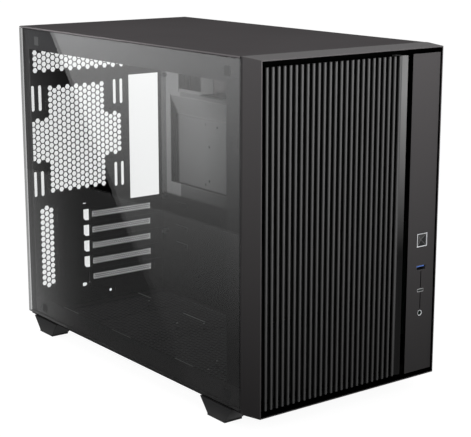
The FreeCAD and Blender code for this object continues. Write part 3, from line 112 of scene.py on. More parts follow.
class CaseSheets(bpy.types.PropertyGroup):
    """Sizes of the perforated sheets and of the softened edges."""
    floor_pitch: FloatProperty(name="Floor pitch", description="Between holes of the floor sheet",
                               subtype="DISTANCE", unit="LENGTH", default=0.0070)
    floor_hole: FloatProperty(name="Floor hole", description="Hole width of the floor sheet",
                              subtype="DISTANCE", unit="LENGTH", default=0.0060)
    cover_pitch: FloatProperty(name="Cover pitch", description="Between holes of a slot cover",
                               subtype="DISTANCE", unit="LENGTH", default=0.00287)
    cover_hole: FloatProperty(name="Cover hole", description="Hole width of a slot cover",
                              subtype="DISTANCE", unit="LENGTH", default=0.00140)
    cover_rows: IntProperty(name="Cover rows", description="Rows of holes in a slot cover", default=3)
    edge: FloatProperty(name="Edge radius", description="Softened edges of bezel, cover and feet",
                        subtype="DISTANCE", unit="LENGTH", default=0.0005)
    shoulder: FloatProperty(name="Shoulder radius", description="Long upper edges of bezel and cover",
                            subtype="DISTANCE", unit="LENGTH", default=0.0016)


class CaseStudio(bpy.types.PropertyGroup):
    """Camera and lamps."""
    lens: FloatProperty(name="Lens", description="Focal length", subtype="DISTANCE_CAMERA",
                        unit="CAMERA", default=101.6)
    sensor: FloatProperty(name="Sensor", description="Sensor width", subtype="DISTANCE_CAMERA",
                          unit="CAMERA", default=36.0)
    place: FloatVectorProperty(name="Camera", description="Camera's place", subtype="TRANSLATION",
                               size=3, default=(-0.8662, -1.19235, 0.5013))
    turn: FloatVectorProperty(name="Aim", description="Camera's rotation", subtype="EULER", size=3,
                              default=(math.radians(77.1), 0.0, math.radians(-36.9)))
    room: FloatProperty(name="Room light", description="Strength of the even room light", default=0.62)
    backdrop: FloatProperty(name="Backdrop", description="Strength of the white that is seen and mirrored",
                            default=1.0)
    key: FloatProperty(name="Key lamp", description="Power of the lamp above the front",
                       subtype="POWER", unit="POWER", default=8.0)
    side: FloatProperty(name="Side lamp", description="Power of the lamp above the glass",
                        subtype="POWER", unit="POWER", default=5.5)
    spot: FloatProperty(name="Narrow lamp", description="Power of the narrow lamp through the glass",
                        subtype="POWER", unit="POWER", default=0.27)


# Shader sums

def sign(operation, swapped=False):
    """A method of Wire that adds one Math node; swapped gives the reflected form."""
    def method(self, other=0.0):
        return self.sum_with(operation, other, swapped)
    return method


class Wire:
    """A shader socket that takes part in sums; each sign adds its own Math node."""

    def __init__(self, tree, socket):
        self.tree = tree
        self.socket = socket

    def sum_with(self, operation, other, swapped):
        maths = self.tree.nodes.new("ShaderNodeMath")
        maths.operation = operation
        first, second = (other, self) if swapped else (self, other)
        feed(self.tree, first, maths.inputs[0])
        feed(self.tree, second, maths.inputs[1])
        return Wire(self.tree, maths.outputs[0])

    __add__, __radd__ = sign("ADD"), sign("ADD", True)
    __sub__, __rsub__ = sign("SUBTRACT"), sign("SUBTRACT", True)
    __mul__, __rmul__ = sign("MULTIPLY"), sign("MULTIPLY", True)
    __truediv__, __rtruediv__ = sign("DIVIDE"), sign("DIVIDE", True)
    __pow__, __rpow__ = sign("POWER"), sign("POWER", True)
    __mod__, __rmod__ = sign("FLOORED_MODULO"), sign("FLOORED_MODULO", True)
    __gt__, __lt__ = sign("GREATER_THAN"), sign("LESS_THAN")
    __abs__ = sign("ABSOLUTE")
    at_most, at_least = sign("MINIMUM"), sign("MAXIMUM")


def feed(tree, value, socket):
    """Links a wire to a socket, or writes a plain value on it."""
    if isinstance(value, Wire):
        tree.links.new(value.socket, socket)
        return
    if socket.type == "RGBA" and len(value) == 3:
        value = (*value, 1.0)
    socket.default_value = value


def within(value, middle, half):
    """1 where a value lies less than half a width from a middle, and 0 elsewhere."""
    return abs(value - middle) < half


def times(colour, factor):
    """A colour times a number."""
    return [share * factor for share in colour]


class Nodes:
    """An emptied node tree, with one method that adds any node but a Math node."""

    def __init__(self, owner):
        owner.use_nodes = True
        self.tree = owner.node_tree
        self.tree.nodes.clear()

    def node(self, kind, settings=None, out=0, **values):
        """Any node: its type, its settings, then its sockets by name, or by number as n0 or n1."""
        made = self.tree.nodes.new(kind)
        for key, value in (settings or {}).items():
            setattr(made, key, value)
        for key, value in values.items():
            name = key.replace("_", " ")
            numbered = name[0] == "n" and name[1:].isdigit()
            feed(self.tree, value, made.inputs[int(name[1:]) if numbered else name])
        return Wire(self.tree, made.outputs[out]) if made.outputs else None

    def outputs(self, kind, names, **values):
        """Several outputs of one new node, by their names."""
        sockets = self.node(kind, **values).socket.node.outputs
        return [Wire(self.tree, sockets[name]) for name in names]


class Finish(Nodes):
    """One material, made of nodes on object coordinates."""

    def __init__(self, name):
        self.material = bpy.data.materials.new(name)
        super().__init__(self.material)
        self.coordinates = self.node("ShaderNodeTexCoord", out="Object")

    def axes(self, letters):
        """Object coordinates as wires, one for each letter."""
        return self.outputs("ShaderNodeSeparateXYZ", letters, Vector=self.coordinates)

    def ramp(self, value, low, high, start=0.0, end=1.0):
        """Goes evenly from start to end while value goes from low to high, and stays there."""
        return self.node("ShaderNodeMapRange", {"clamp": True}, Value=value, From_Min=low,
                         From_Max=high, To_Min=start, To_Max=end)

    def fade(self, level, low, power, top=FADE_TOP):
        """Painted shade by height: a tone that rises by a power, from a low share near the floor to 1 at the
        top.
        """
        return low + self.ramp(level, FADE_FOOT, top) ** power * (1.0 - low)

    def noise(self, scale, detail=2.0, stretch=(1.0, 1.0, 1.0)):
        """Noise on object coordinates; a stretch draws it out along an axis."""
        place = self.node("ShaderNodeMapping", Vector=self.coordinates, Scale=stretch)
        return self.node("ShaderNodeTexNoise", Vector=place, Scale=scale, Detail=detail)

    def drift(self, cloud, start=0.0, end=1.0):
        """Goes from start to end over the middle of a noise's range."""
        return self.ramp(cloud, 0.3, 0.7, start, end)

    def mixed(self, factor, first, second):
        """A colour between two colours."""
        return self.node("ShaderNodeMix", {"data_type": "RGBA"}, out=2, n0=factor, n6=first, n7=second)

    def shaded(self, colour, factor):
        """A colour darkened by a factor from 0 to 1."""
        return self.mixed(factor, (0.0, 0.0, 0.0), colour)

    def bumps(self, height, strength, depth=0.0001):
        return self.node("ShaderNodeBump", Height=height, Strength=strength, Distance=depth)

    def surface(self, **values):
        return self.node("ShaderNodeBsdfPrincipled", **values)

    def close(self, shader):
        """Ends the tree in its output and gives the material."""
        self.node("ShaderNodeOutputMaterial", Surface=shader)
        return self.material

    def grained(self, paint, scale, rough, gloss, bump):
        """Ends in a surface whose fine grain varies its roughness and stands up as bumps."""
        grain = self.noise(scale, 3.0)
        shader = self.surface(Base_Color=paint, Roughness=self.ramp(grain, 0.2, 0.8, *rough),
                              Specular_IOR_Level=gloss, Normal=self.bumps(grain, bump))
        return self.close(shader)


def dress(node, material):
    """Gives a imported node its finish."""
    thing = NODES[node]
    thing.data.materials.clear()
    thing.data.materials.append(material)


def dress_slot(slot, material, leave=()):
    """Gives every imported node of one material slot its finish."""
    for node, name in SLOTS.items():
        if name == slot and node not in leave:
            dress(node, material)


def middle_level(node):
    """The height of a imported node's middle."""
    low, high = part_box(node)
    return (low[2] + high[2]) / 2


# Finishes

def powder_coat_painted_shade(name, colour, low=0.86, power=1.0, gloss=0.01, outer=None):
    """Fine-grained black powder coat with painted shade: its tone falls to a low share toward the floor.

    With an outer depth, the side of the sheet beyond it keeps nearly the full tone of the case's outside, and
    the side that faces into the case gets painted shade.
    """
    inside_shade, outward = 0.61, 0.85
    finish = Finish(name)
    y, z = finish.axes("YZ")
    tone = finish.fade(z, low, power)
    if outer is not None:
        tone = (tone * inside_shade + (y > outer) * outward).at_most(1.0)
    paint = finish.shaded(colour, tone * finish.drift(finish.noise(PATCHES), 0.94, 1.0))
    return finish.grained(paint, POWDER_GRAIN, rough=(0.46, 0.62), gloss=gloss, bump=0.05)


def cover_coat_painted_highlight(colour):
    """Powder coat of the top cover, with a painted highlight along its rounded left edge."""
    edge, flat, edge_highlight = -0.1191, 0.56, 0.75
    finish = Finish("case_coat_cover")
    x = finish.axes("X")[0]
    tone = finish.drift(finish.noise(PATCHES), 0.52, flat) * (1.0 + (x < edge) * edge_highlight)
    paint = finish.shaded(times(colour, 1.0 / flat), tone)
    return finish.grained(paint, POWDER_GRAIN, rough=(0.50, 0.64), gloss=0.0, bump=0.12)


def tray_painted_light(colour):
    """Powder coat of the tray with painted light: a painted lit post behind its cut-out, and painted shade
    that dims it toward the front and takes it near black low down.

    Nothing nearer the glass than the sheet gets painted light. A painted shadow makes it dimmer just above
    the sill, forward of the post.
    """
    sheet, sill, sill_top = 0.0745, 0.1480, 0.1515
    post_front, post_rear, overlap = 0.1790, 0.2110, 0.0001
    finish = Finish("case_coat_tray_painted_light")
    x, y, z = finish.axes("XYZ")
    above = finish.ramp(z, sill, sill_top)
    before = y < post_front + overlap
    post = (y > post_front) * (y < post_rear)
    forward = finish.ramp(y, 0.060, 0.150, 0.08, 0.60) * before
    rearward = (y > post_rear - overlap) * 0.40
    level = finish.ramp(z, 0.15, 0.30, 0.62, 1.0)
    tone = (post + forward + rearward) * above * level + (1.0 - above) * 0.008
    shadow = before * finish.ramp(z, 0.150, 0.180, 0.55, 0.0)
    paint = finish.shaded(colour, tone * (x > sheet) * (1.0 - shadow))
    return finish.grained(paint, POWDER_GRAIN, rough=(0.46, 0.62), gloss=0.02, bump=0.04)


def bracket_painted_light(colour):
    """Powder coat of the drive bracket with painted light: brightest in its upper band, with a fine painted
    highlight on a crease below it, and painted shade toward the front and low down.
    """
    crease, crease_half, crease_highlight, band_light = 0.2525, 0.0005, 0.35, 0.16
    finish = Finish("case_coat_bracket_painted_light")
    y, z = finish.axes("YZ")
    band = finish.ramp(z, 0.2515, crease)
    sideways = finish.ramp(y, 0.085, 0.150, 0.45, 1.0)
    level = finish.ramp(z, 0.150, 0.285, 0.55, 0.95)
    tone = (level + band * band_light + within(z, crease, crease_half) * crease_highlight) * sideways * 0.70
    paint = finish.shaded(colour, tone)
    return finish.grained(paint, POWDER_GRAIN, rough=(0.46, 0.62), gloss=0.02, bump=0.04)


def floor_coat_painted_light(colour):
    """Powder coat of the floor pan with painted light: painted shade keeps it dark, darker still where the
    perforated sheet lies over it, and a painted highlight makes it pale underneath.
    """
    bare, dimmed, underside, pale = 0.10, 0.085, 0.01775, 0.7
    finish = Finish("case_floor_coat")
    x, y, z = finish.axes("XYZ")
    covered = within(x, -0.004, 0.0735) * within(y, 0.006, 0.2065) * within(z, 0.0181, 0.0006)
    paint = finish.shaded(colour, bare - dimmed * covered + (z < underside) * pale)
    return finish.grained(paint, POWDER_GRAIN, rough=(0.50, 0.66), gloss=0.02, bump=0.04)


def front_recess_shade(x, y, z):
    """1 inside the front's opening, behind the rib faces, where black is painted as shade, and 0 outside it.
    """
    opening_half, opening_middle, opening_reach, face = 0.1163, 0.19635, 0.1733, -0.2344
    return within(x, 0.0, opening_half) * within(z, opening_middle, opening_reach) * (y > face)


def bezel_moulding_painted_light(colour):
    """Satin plastic of the bezel with painted light: painted shade darkens it low down and on its rear hem, a
    painted highlight makes the rim paler, and painted shade makes it black inside.

    The paint is made double as bright and its tone halved, so that the rim's painted highlight can pass 1.
    """
    hem_front, rim_rear, rim_highlight, headroom = -0.2094, -0.23445, 0.95, 2.0
    finish = Finish("case_bezel")
    x, y, z = finish.axes("XYZ")
    hem = 1.0 - (y > hem_front) * finish.ramp(z, 0.10, 0.36, 0.0, 0.42)
    rim = 1.0 + (y < rim_rear) * rim_highlight
    tone = finish.fade(z, 0.26, 1.25, top=0.37) * hem * rim / headroom
    paint = finish.shaded(times(colour, headroom), tone * (1.0 - front_recess_shade(x, y, z)))
    return finish.grained(paint, SATIN_GRAIN, rough=(0.42, 0.52), gloss=0.03, bump=0.08)


def rib_moulding_painted_light(colour, bright):
    """Rib faces are satin, with a painted sheen that fades downward and painted shade on their dimmer flanks;
    what lies behind them is painted black as shade.

    The bar beside the last rib has a narrow matt facet with painted shade and a broad facet with a painted
    reflection.
    """
    bar_left, facet_left = 0.0614, 0.0637
    first_rib, rib_pitch, flank = -0.1100, 0.00703, 0.00045
    face_rear, flank_rear, flank_shade = -0.23215, -0.2311, 0.45
    finish = Finish("case_ribs")
    x, y, z = finish.axes("XYZ")
    facet = x > facet_left
    # Painted reflection on the broad facet and painted shade on the narrow one, both by height
    glossy = 0.02 + finish.ramp(z, 0.160, 0.33) ** 1.15
    matt = finish.ramp(z, 0.02, 0.37, 0.10, 0.50)
    bar_tone = facet * glossy + (1.0 - facet) * matt
    beside = ((x - first_rib) % rib_pitch) < flank
    face = (y < face_rear) * (1.0 - beside) + beside * (y < flank_rear) * flank_shade
    rib_tone = face * finish.fade(z, 0.30, 1.2)
    paint = finish.mixed(x > bar_left, finish.shaded(colour, rib_tone), finish.shaded(bright, bar_tone))
    return finish.grained(paint, SATIN_GRAIN, rough=(0.40, 0.52), gloss=0.05, bump=0.06)


def strip_moulding_painted_shade(colour):
    """Satin plastic of the port strip with painted shade: darker low down, black on its cut edges and stands.
    """
    face_rear = -0.2331
    finish = Finish("case_port_strip")
    y, z = finish.axes("YZ")
    paint = finish.shaded(colour, finish.fade(z, 0.18, 1.2) * (y < face_rear))
    return finish.grained(paint, SATIN_GRAIN, rough=(0.42, 0.52), gloss=0.08, bump=0.06)


def plain_moulding(name, colour, roughness=0.5):
    """Textured black plastic of feet, filter frame and small pieces."""
    finish = Finish(name)
    paint = finish.shaded(colour, finish.drift(finish.noise(40.0), 0.9, 1.0))
    rough = (roughness - 0.05, roughness + 0.07)
    return finish.grained(paint, TEXTURE_GRAIN, rough, gloss=0.06, bump=0.15)


def clear_glass(colour):
    """Flat glass: light goes straight through and the surface mirrors more at a low angle.

    The cut edges and a narrow border at the rear are dark, the border paler at its foot.
    """
    middle, half_height, border_front, border_share = 0.19615, 0.17408, 0.2225, 0.42
    finish = Finish("case_glass")
    y, z = finish.axes("YZ")
    facing = finish.node("ShaderNodeLayerWeight", out="Facing", Blend=0.5)
    through = finish.node("ShaderNodeBsdfTransparent", Color=colour)
    tint = finish.mixed(finish.ramp(finish.noise(3.0, 1.0), 0.2, 0.8), (0.97, 0.97, 0.97), WHITE)
    mirror = finish.surface(Base_Color=tint, Metallic=1.0, Roughness=0.0)
    mirrored = facing ** 4.0 * 0.95 + 0.035
    pane = finish.node("ShaderNodeMixShader", Fac=mirrored, n1=through, n2=mirror)
    cut = abs(z - middle) > half_height
    border = (y > border_front) * border_share
    paint = finish.shaded((0.06, 0.06, 0.06), 0.2 + (z < 0.1) * (y > 0.14) * 0.8)
    ground = finish.surface(Base_Color=paint, Roughness=0.35, Specular_IOR_Level=0.1)
    shader = finish.node("ShaderNodeMixShader", Fac=(cut + border).at_most(1.0), n1=pane, n2=ground)
    return finish.close(shader)


def bare_steel():
    """Bright stamped steel with fine drawn lines."""
    finish = Finish("case_bare_steel")
    lines = finish.noise(900.0, stretch=(1.0, 0.05, 1.0))
    paint = finish.mixed(finish.drift(lines), (0.52, 0.52, 0.53), (0.68, 0.68, 0.68))
    return finish.close(finish.surface(Base_Color=paint, Metallic=1.0,
                                       Roughness=finish.drift(lines, 0.24, 0.38)))


def dark_steel():
    """Black zinc of screws, standoffs and the wide port's shell."""
    finish = Finish("case_black_zinc")
    cloud = finish.noise(300.0, 3.0)
    paint = finish.mixed(finish.drift(cloud), (0.05, 0.05, 0.052), (0.10, 0.10, 0.105))
    return finish.close(finish.surface(Base_Color=paint, Metallic=0.8,
                                       Roughness=finish.drift(cloud, 0.28, 0.42)))


def lit_white(name, colour, level, square, inner, outer):
    """Milky light guide: white in a narrow band round its middle, dark outside it.

    The band runs from inner to outer, measured as the larger of the two offsets of a
    square ring, or as the radius of a round one.
    """
    finish = Finish(name)
    x, z = finish.axes("XZ")
    across, upward = abs(x - PORT_LINE), abs(z - level)
    if square:
        reach = across.at_least(upward)
    else:
        reach = (across * across + upward * upward) ** 0.5
    band = (reach > inner) * (reach < outer)
    glow = finish.mixed(finish.drift(finish.noise(500.0)), (0.80, 0.81, 0.83), colour)
    return finish.close(finish.surface(Base_Color=finish.shaded(glow, 0.03 + band * 0.92),
                                       Roughness=0.3, Specular_IOR_Level=0.1))


def button_moulding_painted_light(level):
    """Dished button: painted shade makes its four facets differ in tone by how they face, and painted
    highlights make the fine pale lines where they meet.
    """
    rim_rear, line_half = -0.2334, 0.00042
    finish = Finish("case_button")
    x, y, z = finish.axes("XYZ")
    across, upward = x - PORT_LINE, z - level
    sideways, height = abs(across), abs(upward)
    upper = (upward > sideways) * 0.055
    lower = (upward < sideways * -1.0) * 0.016
    sides = (sideways > height) * (0.024 + (across < 0.0) * 0.018)
    lines = within(sideways, height, line_half) * 0.10
    tone = (upper + lower + sides + lines) * (y > rim_rear) + (y < rim_rear) * 0.03
    grain = finish.noise(TEXTURE_GRAIN, 3.0)
    paint = finish.shaded(WHITE, tone * finish.drift(grain, 0.94, 1.0))
    return finish.close(finish.surface(Base_Color=paint, Roughness=0.35, Specular_IOR_Level=0.1))


def blue_tongue_painted_highlight(level):
    """Blue moulding with a painted highlight along the middle of its face."""
    line_half = 0.00042
    finish = Finish("case_blue_tongue")
    z = finish.axes("Z")[0]
    cloud = finish.noise(400.0)
    bright = finish.drift(cloud, 0.0, 0.2) + within(z, level, line_half) * 0.8
    paint = finish.mixed(bright, (0.006, 0.020, 0.11), (0.070, 0.190, 0.62))
    return finish.close(finish.surface(Base_Color=paint, Roughness=finish.drift(cloud, 0.35, 0.5)))


def woven_filter():
    """Fine black filter cloth: threads cross every 0.9 mm."""
    finish = Finish("case_filter_cloth")
    across, along, upward = (
        finish.node("ShaderNodeTexWave", {"bands_direction": axis}, Vector=finish.coordinates, Scale=350.0)
        for axis in "XYZ")
    weave = across * 0.5 + upward * 0.25 + along * 0.25
    paint = finish.mixed(weave, (0.002, 0.002, 0.002), (0.010, 0.010, 0.010))
    return finish.close(finish.surface(Base_Color=paint, Roughness=0.85, Specular_IOR_Level=0.1,
                                       Normal=finish.bumps(weave, 0.4, 0.0002)))


def circuit_board():
    """Dark solder mask with fainter copper runs below it."""
    finish = Finish("case_circuit_board")
    runs = finish.node("ShaderNodeTexVoronoi", {"distance": "MANHATTAN", "feature": "DISTANCE_TO_EDGE"},
                       Vector=finish.coordinates, Scale=300.0)
    paint = finish.mixed(finish.ramp(runs, 0.02, 0.08), (0.010, 0.030, 0.018), (0.006, 0.012, 0.009))
    return finish.close(finish.surface(Base_Color=paint, Roughness=0.4, Normal=finish.bumps(runs, 0.2)))


def soft_rubber():
    """Matt rubber of the foot pads."""
    finish = Finish("case_rubber")
    grain = finish.noise(1500.0, 4.0)
    paint = finish.mixed(finish.drift(grain), (0.018, 0.018, 0.018), (0.030, 0.030, 0.030))
    return finish.close(finish.surface(Base_Color=paint, Roughness=finish.ramp(grain, 0.2, 0.8, 0.75, 0.9),
                                       Specular_IOR_Level=0.2, Normal=finish.bumps(grain, 0.3, 0.0002)))


# Meshes

def placed(name, data):
    """A new object of the scene."""
    thing = bpy.data.objects.new(name, data)
    bpy.context.scene.collection.objects.link(thing)
    return thing


def mesh_piece(name, points, faces, material, body, stands_for=()):
    """An object from an array of points and a list of face arrays, riding on a body."""
    mesh = bpy.data.meshes.new(name)
    mesh.from_pydata(points.tolist(), [], [face for block in faces for face in block.tolist()])
    mesh.validate()
    mesh.update()
    mesh.materials.append(material)
    piece = placed(name, mesh)
    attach(piece, body)
    if stands_for:
        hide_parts(*stands_for)


def hexagon_sheet(columns, rows, pitch, hole, thickness):
    """Points and faces of a sheet of hexagonal cells, each with a hexagonal hole.

    A cell's outer ring lies at pitch / sqrt(3) from its centre and its hole's ring at
    hole / sqrt(3), at angles of 30 + 60 k degrees. Odd rows move half a pitch along.
    The sheet lies in its own u, v plane and is thickness deep; its corner cell is at 0, 0.
    """
    sides = 6
    column, row = np.meshgrid(np.arange(columns), np.arange(rows), indexing="ij")
    centre_u = (column + 0.5 * (row % 2)).ravel() * pitch
    centre_v = row.ravel() * pitch * math.sqrt(3) / 2
    angle = np.radians(30 + 60 * np.arange(sides))
    rings = []
    for radius in (pitch / math.sqrt(3), hole / math.sqrt(3)):
        u = centre_u[:, None] + radius * np.cos(angle)
        v = centre_v[:, None] + radius * np.sin(angle)
        rings += [np.stack([u, v, np.full_like(u, depth)], axis=-1) for depth in (0.0, thickness)]
    points = np.stack(rings, axis=1).reshape(-1, 3)
    start = np.arange(len(centre_u))[:, None] * len(rings) * sides
    here = np.arange(sides)
    beyond = (here + 1) % sides
    outer_low, outer_high, hole_low, hole_high = (ring * sides for ring in range(len(rings)))
    quads = [
        (outer_low + beyond, outer_low + here, hole_low + here, hole_low + beyond),
        (outer_high + here, outer_high + beyond, hole_high + beyond, hole_high + here),
        (hole_high + here, hole_high + beyond, hole_low + beyond, hole_low + here),
        (outer_low + here, outer_low + beyond, outer_high + beyond, outer_high + here),
    ]
    return points, [np.stack([start + part for part in quad], axis=-1).reshape(-1, 4) for quad in quads]


def laid(points, corner, u_axis, v_axis, w_axis):
    """Points of a sheet set down from a corner along three axes."""
    return np.asarray(corner) + points @ np.array([u_axis, v_axis, w_axis], float)


def slab(low, high):
    """Points and outward faces of an upright block: its lower square, its upper one and four sides."""
    square = ((0, 0), (1, 0), (1, 1), (0, 1))
    upper = np.array([(*corner, level) for level in (0, 1) for corner in square]) == 1
    here = np.arange(4)
    beyond = (here + 1) % 4
    sides = np.stack([here, beyond, beyond + 4, here + 4], axis=-1)
    return np.where(upper, high, low), [np.array([here[::-1], here + 4]), sides]


def turned(rings, base, crown):
    """Points and faces of a turned solid from its rings, closed by a fan of triangles at each end.

    The rings go anticlockwise, seen from the crown.
    """
    layers, count = rings.shape[:2]
    here = np.arange(count)
    beyond = (here + 1) % count
    low = np.arange(layers - 1)[:, None] * count
    high = low + count
    last = (layers - 1) * count
    pole = np.full(count, layers * count)
    quads = np.stack([low + here, low + beyond, high + beyond, high + here], axis=-1).reshape(-1, 4)
    fans = np.concatenate([np.stack([pole, beyond, here], axis=-1),
                           np.stack([pole + 1, last + here, last + beyond], axis=-1)])
    return np.concatenate([rings.reshape(-1, 3), [base, crown]]), [quads, fans]


def bead(centre, radius, height, sides=10):
    """A low dome: rings at 100, 92, 70 and 38 percent of the radius rise along a quarter circle."""
    x, y, z = centre
    around = np.linspace(0, 2 * np.pi, sides, endpoint=False)
    share = np.array([1.0, 0.92, 0.70, 0.38])[:, None]
    rings = np.stack(np.broadcast_arrays(x + radius * share * np.cos(around),
                                         y + radius * share * np.sin(around),
                                         z + height * np.sqrt(1 - share ** 2)), axis=-1)
    return turned(rings, centre, (x, y, z + height))


def knurled_head(centre, radius, length, teeth=36):
    """A thumbscrew head along +Y: its radius swings by 4 percent, teeth times round.

    Each row of the profile is a ring's place along the head, its share of the radius and its
    share of the swing, from the rim's base over a chamfered crown to the middle of the face.
    """
    x, y, z = centre
    around = np.linspace(0, 2 * np.pi, teeth * 4, endpoint=False)
    profile = np.array([(0.0, 0.96, 1.0), (0.06, 1.0, 1.0), (0.86, 1.0, 1.0), (1.0, 0.9, 0.2),
                        (0.94, 0.55, 0.0)])
    along, share, tooth = profile.T[:, :, None]
    swing = radius * share * (1 + 0.04 * tooth * np.sign(np.sin(around * teeth)))
    rings = np.stack(np.broadcast_arrays(x + swing * np.cos(around), y + along * length,
                                         z + swing * np.sin(around)), axis=-1)
    points, faces = turned(rings, centre, (x, y + along[-1, 0] * length, z))
    # Seen from +Y these rings go clockwise, so each face is turned over
    return points, [np.roll(block[:, ::-1], 1, axis=1) for block in faces]


def joined(parts):
    """Several pairs of points and face arrays as one."""
    points, faces, count = [], [], 0
    for some_points, some_faces in parts:
        points.append(some_points)
        faces += [block + count for block in some_faces]
        count += len(some_points)
    return np.concatenate(points), faces


def rounded(piece, name, width, segments, **limits):
    """Adds a bevel modifier with its limits."""
    bevel = piece.modifiers.new(name, "BEVEL")
    bevel.width = width
    bevel.segments = segments
    for key, value in limits.items():
        setattr(bevel, key, value)


def softened(node, width, material, body, shoulder=0.0):
    """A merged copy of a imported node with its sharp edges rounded, standing for that node.

    A shoulder rounds the two long edges at the node's top, left and right, by that much more.
    """
    merge, flat, sharp = 1e-6, math.radians(0.5), math.radians(35)
    top_slack, side_slack, shortest = 1e-5, 1e-4, 0.005
    mesh = NODES[node].data.copy()
    low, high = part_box(node)
    work = bmesh.new()
    work.from_mesh(mesh)
    bmesh.ops.remove_doubles(work, verts=work.verts, dist=merge)
    bmesh.ops.dissolve_limit(work, angle_limit=flat, verts=work.verts, edges=work.edges)
    if shoulder:
        weights = work.edges.layers.float.new("bevel_weight_edge")
        for edge in work.edges:
            ends = [corner.co for corner in edge.verts]
            level = all(corner.z > high[2] - top_slack for corner in ends)
            outer = all(min(corner.x - low[0], high[0] - corner.x) < side_slack for corner in ends)
            if level and outer and abs(ends[0].y - ends[1].y) > shortest:
                edge[weights] = 1.0
    work.to_mesh(mesh)
    work.free()
    mesh.materials.clear()
    mesh.materials.append(material)
    piece = placed(f"{node}_soft", mesh)
    if shoulder:
        rounded(piece, "shoulders", shoulder, 4, limit_method="WEIGHT")
    rounded(piece, "edges", width, 2, limit_method="ANGLE", angle_limit=sharp)
    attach(piece, body)
    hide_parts(node)


# Operators

class CASE_OT_steel(bpy.types.Operator):
    """Coats the sheet steel, inside and out.

    The rear wall and the slot covers have their outer tone past the depths given here.
    """
    bl_idname = "case.steel"
    bl_label = "Sheet steel"
    WALL_OUTSIDE = 0.22355
    COVERS_OUTSIDE = 0.22285
    COVER_EDGE_SHARE = 0.4

    def execute(self, context):
        colours = context.scene.case_colours
        sheets = context.scene.case_sheets
        # Inside the case, painted shade also takes this coat near black low down
        inside = powder_coat_painted_shade("case_coat_inner", colours.tray, low=0.03, power=2.6)
        dress_slot("steel_black", inside, leave=("top_cover", "right_panel"))
        dress("rear_panel", powder_coat_painted_shade("case_coat_rear", colours.steel, low=0.02, power=2.6,
                                        outer=self.WALL_OUTSIDE))
        covers = powder_coat_painted_shade("case_coat_slot_covers", colours.steel, low=0.02, power=2.6,
                             outer=self.COVERS_OUTSIDE)
        for node in COVERS:
            dress(node, covers)
        dress("motherboard_tray", tray_painted_light(colours.bracket))
        dress("drive_bracket", bracket_painted_light(colours.bracket))
        dress("right_panel", powder_coat_painted_shade("case_coat", colours.steel, gloss=0.0))
        softened("top_cover", sheets.edge * self.COVER_EDGE_SHARE, cover_coat_painted_highlight(colours.steel), "cover",
                 sheets.shoulder)
        dark = dark_steel()
        dress_slot("screw_black", dark)
        dress_slot("standoff_brass", dark)
        dress_slot("bright_steel", bare_steel())
        floor = floor_coat_painted_light(colours.steel)
        dress("floor_pan", floor)
        dress("floor_rivets", floor)
        dull = powder_coat_painted_shade("case_coat_fittings", colours.fittings, low=0.16, power=2.2)
        dress("glass_studs", dull)
        dress("glass_sockets", dull)
        return {"FINISHED"}


class CASE_OT_mouldings(bpy.types.Operator):
    """Finishes the plastic pieces, the boards and the filters."""
    bl_idname = "case.mouldings"
    bl_label = "Mouldings"
    STRIP_LIFT = 1.22
    LIGHT_RING = (0.0063, 0.0071)
    JACK_RING = (0.0020, 0.0030)

    def execute(self, context):
        colours = context.scene.case_colours
        sheets = context.scene.case_sheets
        small = plain_moulding("case_moulding", colours.small)
        dress_slot("plastic_black", small, leave=("glass_sockets",))
        dress("front_grille", rib_moulding_painted_light(colours.ribs, colours.bar))
        dress("port_strip", strip_moulding_painted_shade(times(colours.plastic, self.STRIP_LIFT)))
        softened("front_bezel", sheets.edge, bezel_moulding_painted_light(colours.plastic), "front", sheets.shoulder)
        foot = plain_moulding("case_foot", colours.foot, roughness=0.45)
        for node in NODES:
            if node.startswith("foot_") and "pad" not in node:
                softened(node, sheets.edge, foot, "chassis")
        dress_slot("filter_black", woven_filter())
        dress_slot("board_dark", circuit_board())
        dress_slot("pad_rubber", soft_rubber())
        dress("wide_port_shell", dark_steel())
        dress_slot("tongue_blue", blue_tongue_painted_highlight(middle_level("wide_port_tongue")))
        button = middle_level("power_button")
        jack = middle_level("jack_ring")
        dress("power_button", button_moulding_painted_light(button))
        dress("light_ring", lit_white("case_light_ring", colours.light, button, True, *self.LIGHT_RING))
        dress("jack_ring", lit_white("case_jack_ring", colours.light, jack, False, *self.JACK_RING))
        return {"FINISHED"}


class CASE_OT_glass(bpy.types.Operator):
    """Gives the side panel its glass."""
    bl_idname = "case.glass"
    bl_label = "Glass"

    def execute(self, context):
        dress_slot("smoked_glass", clear_glass(context.scene.case_colours.glass))
        return {"FINISHED"}


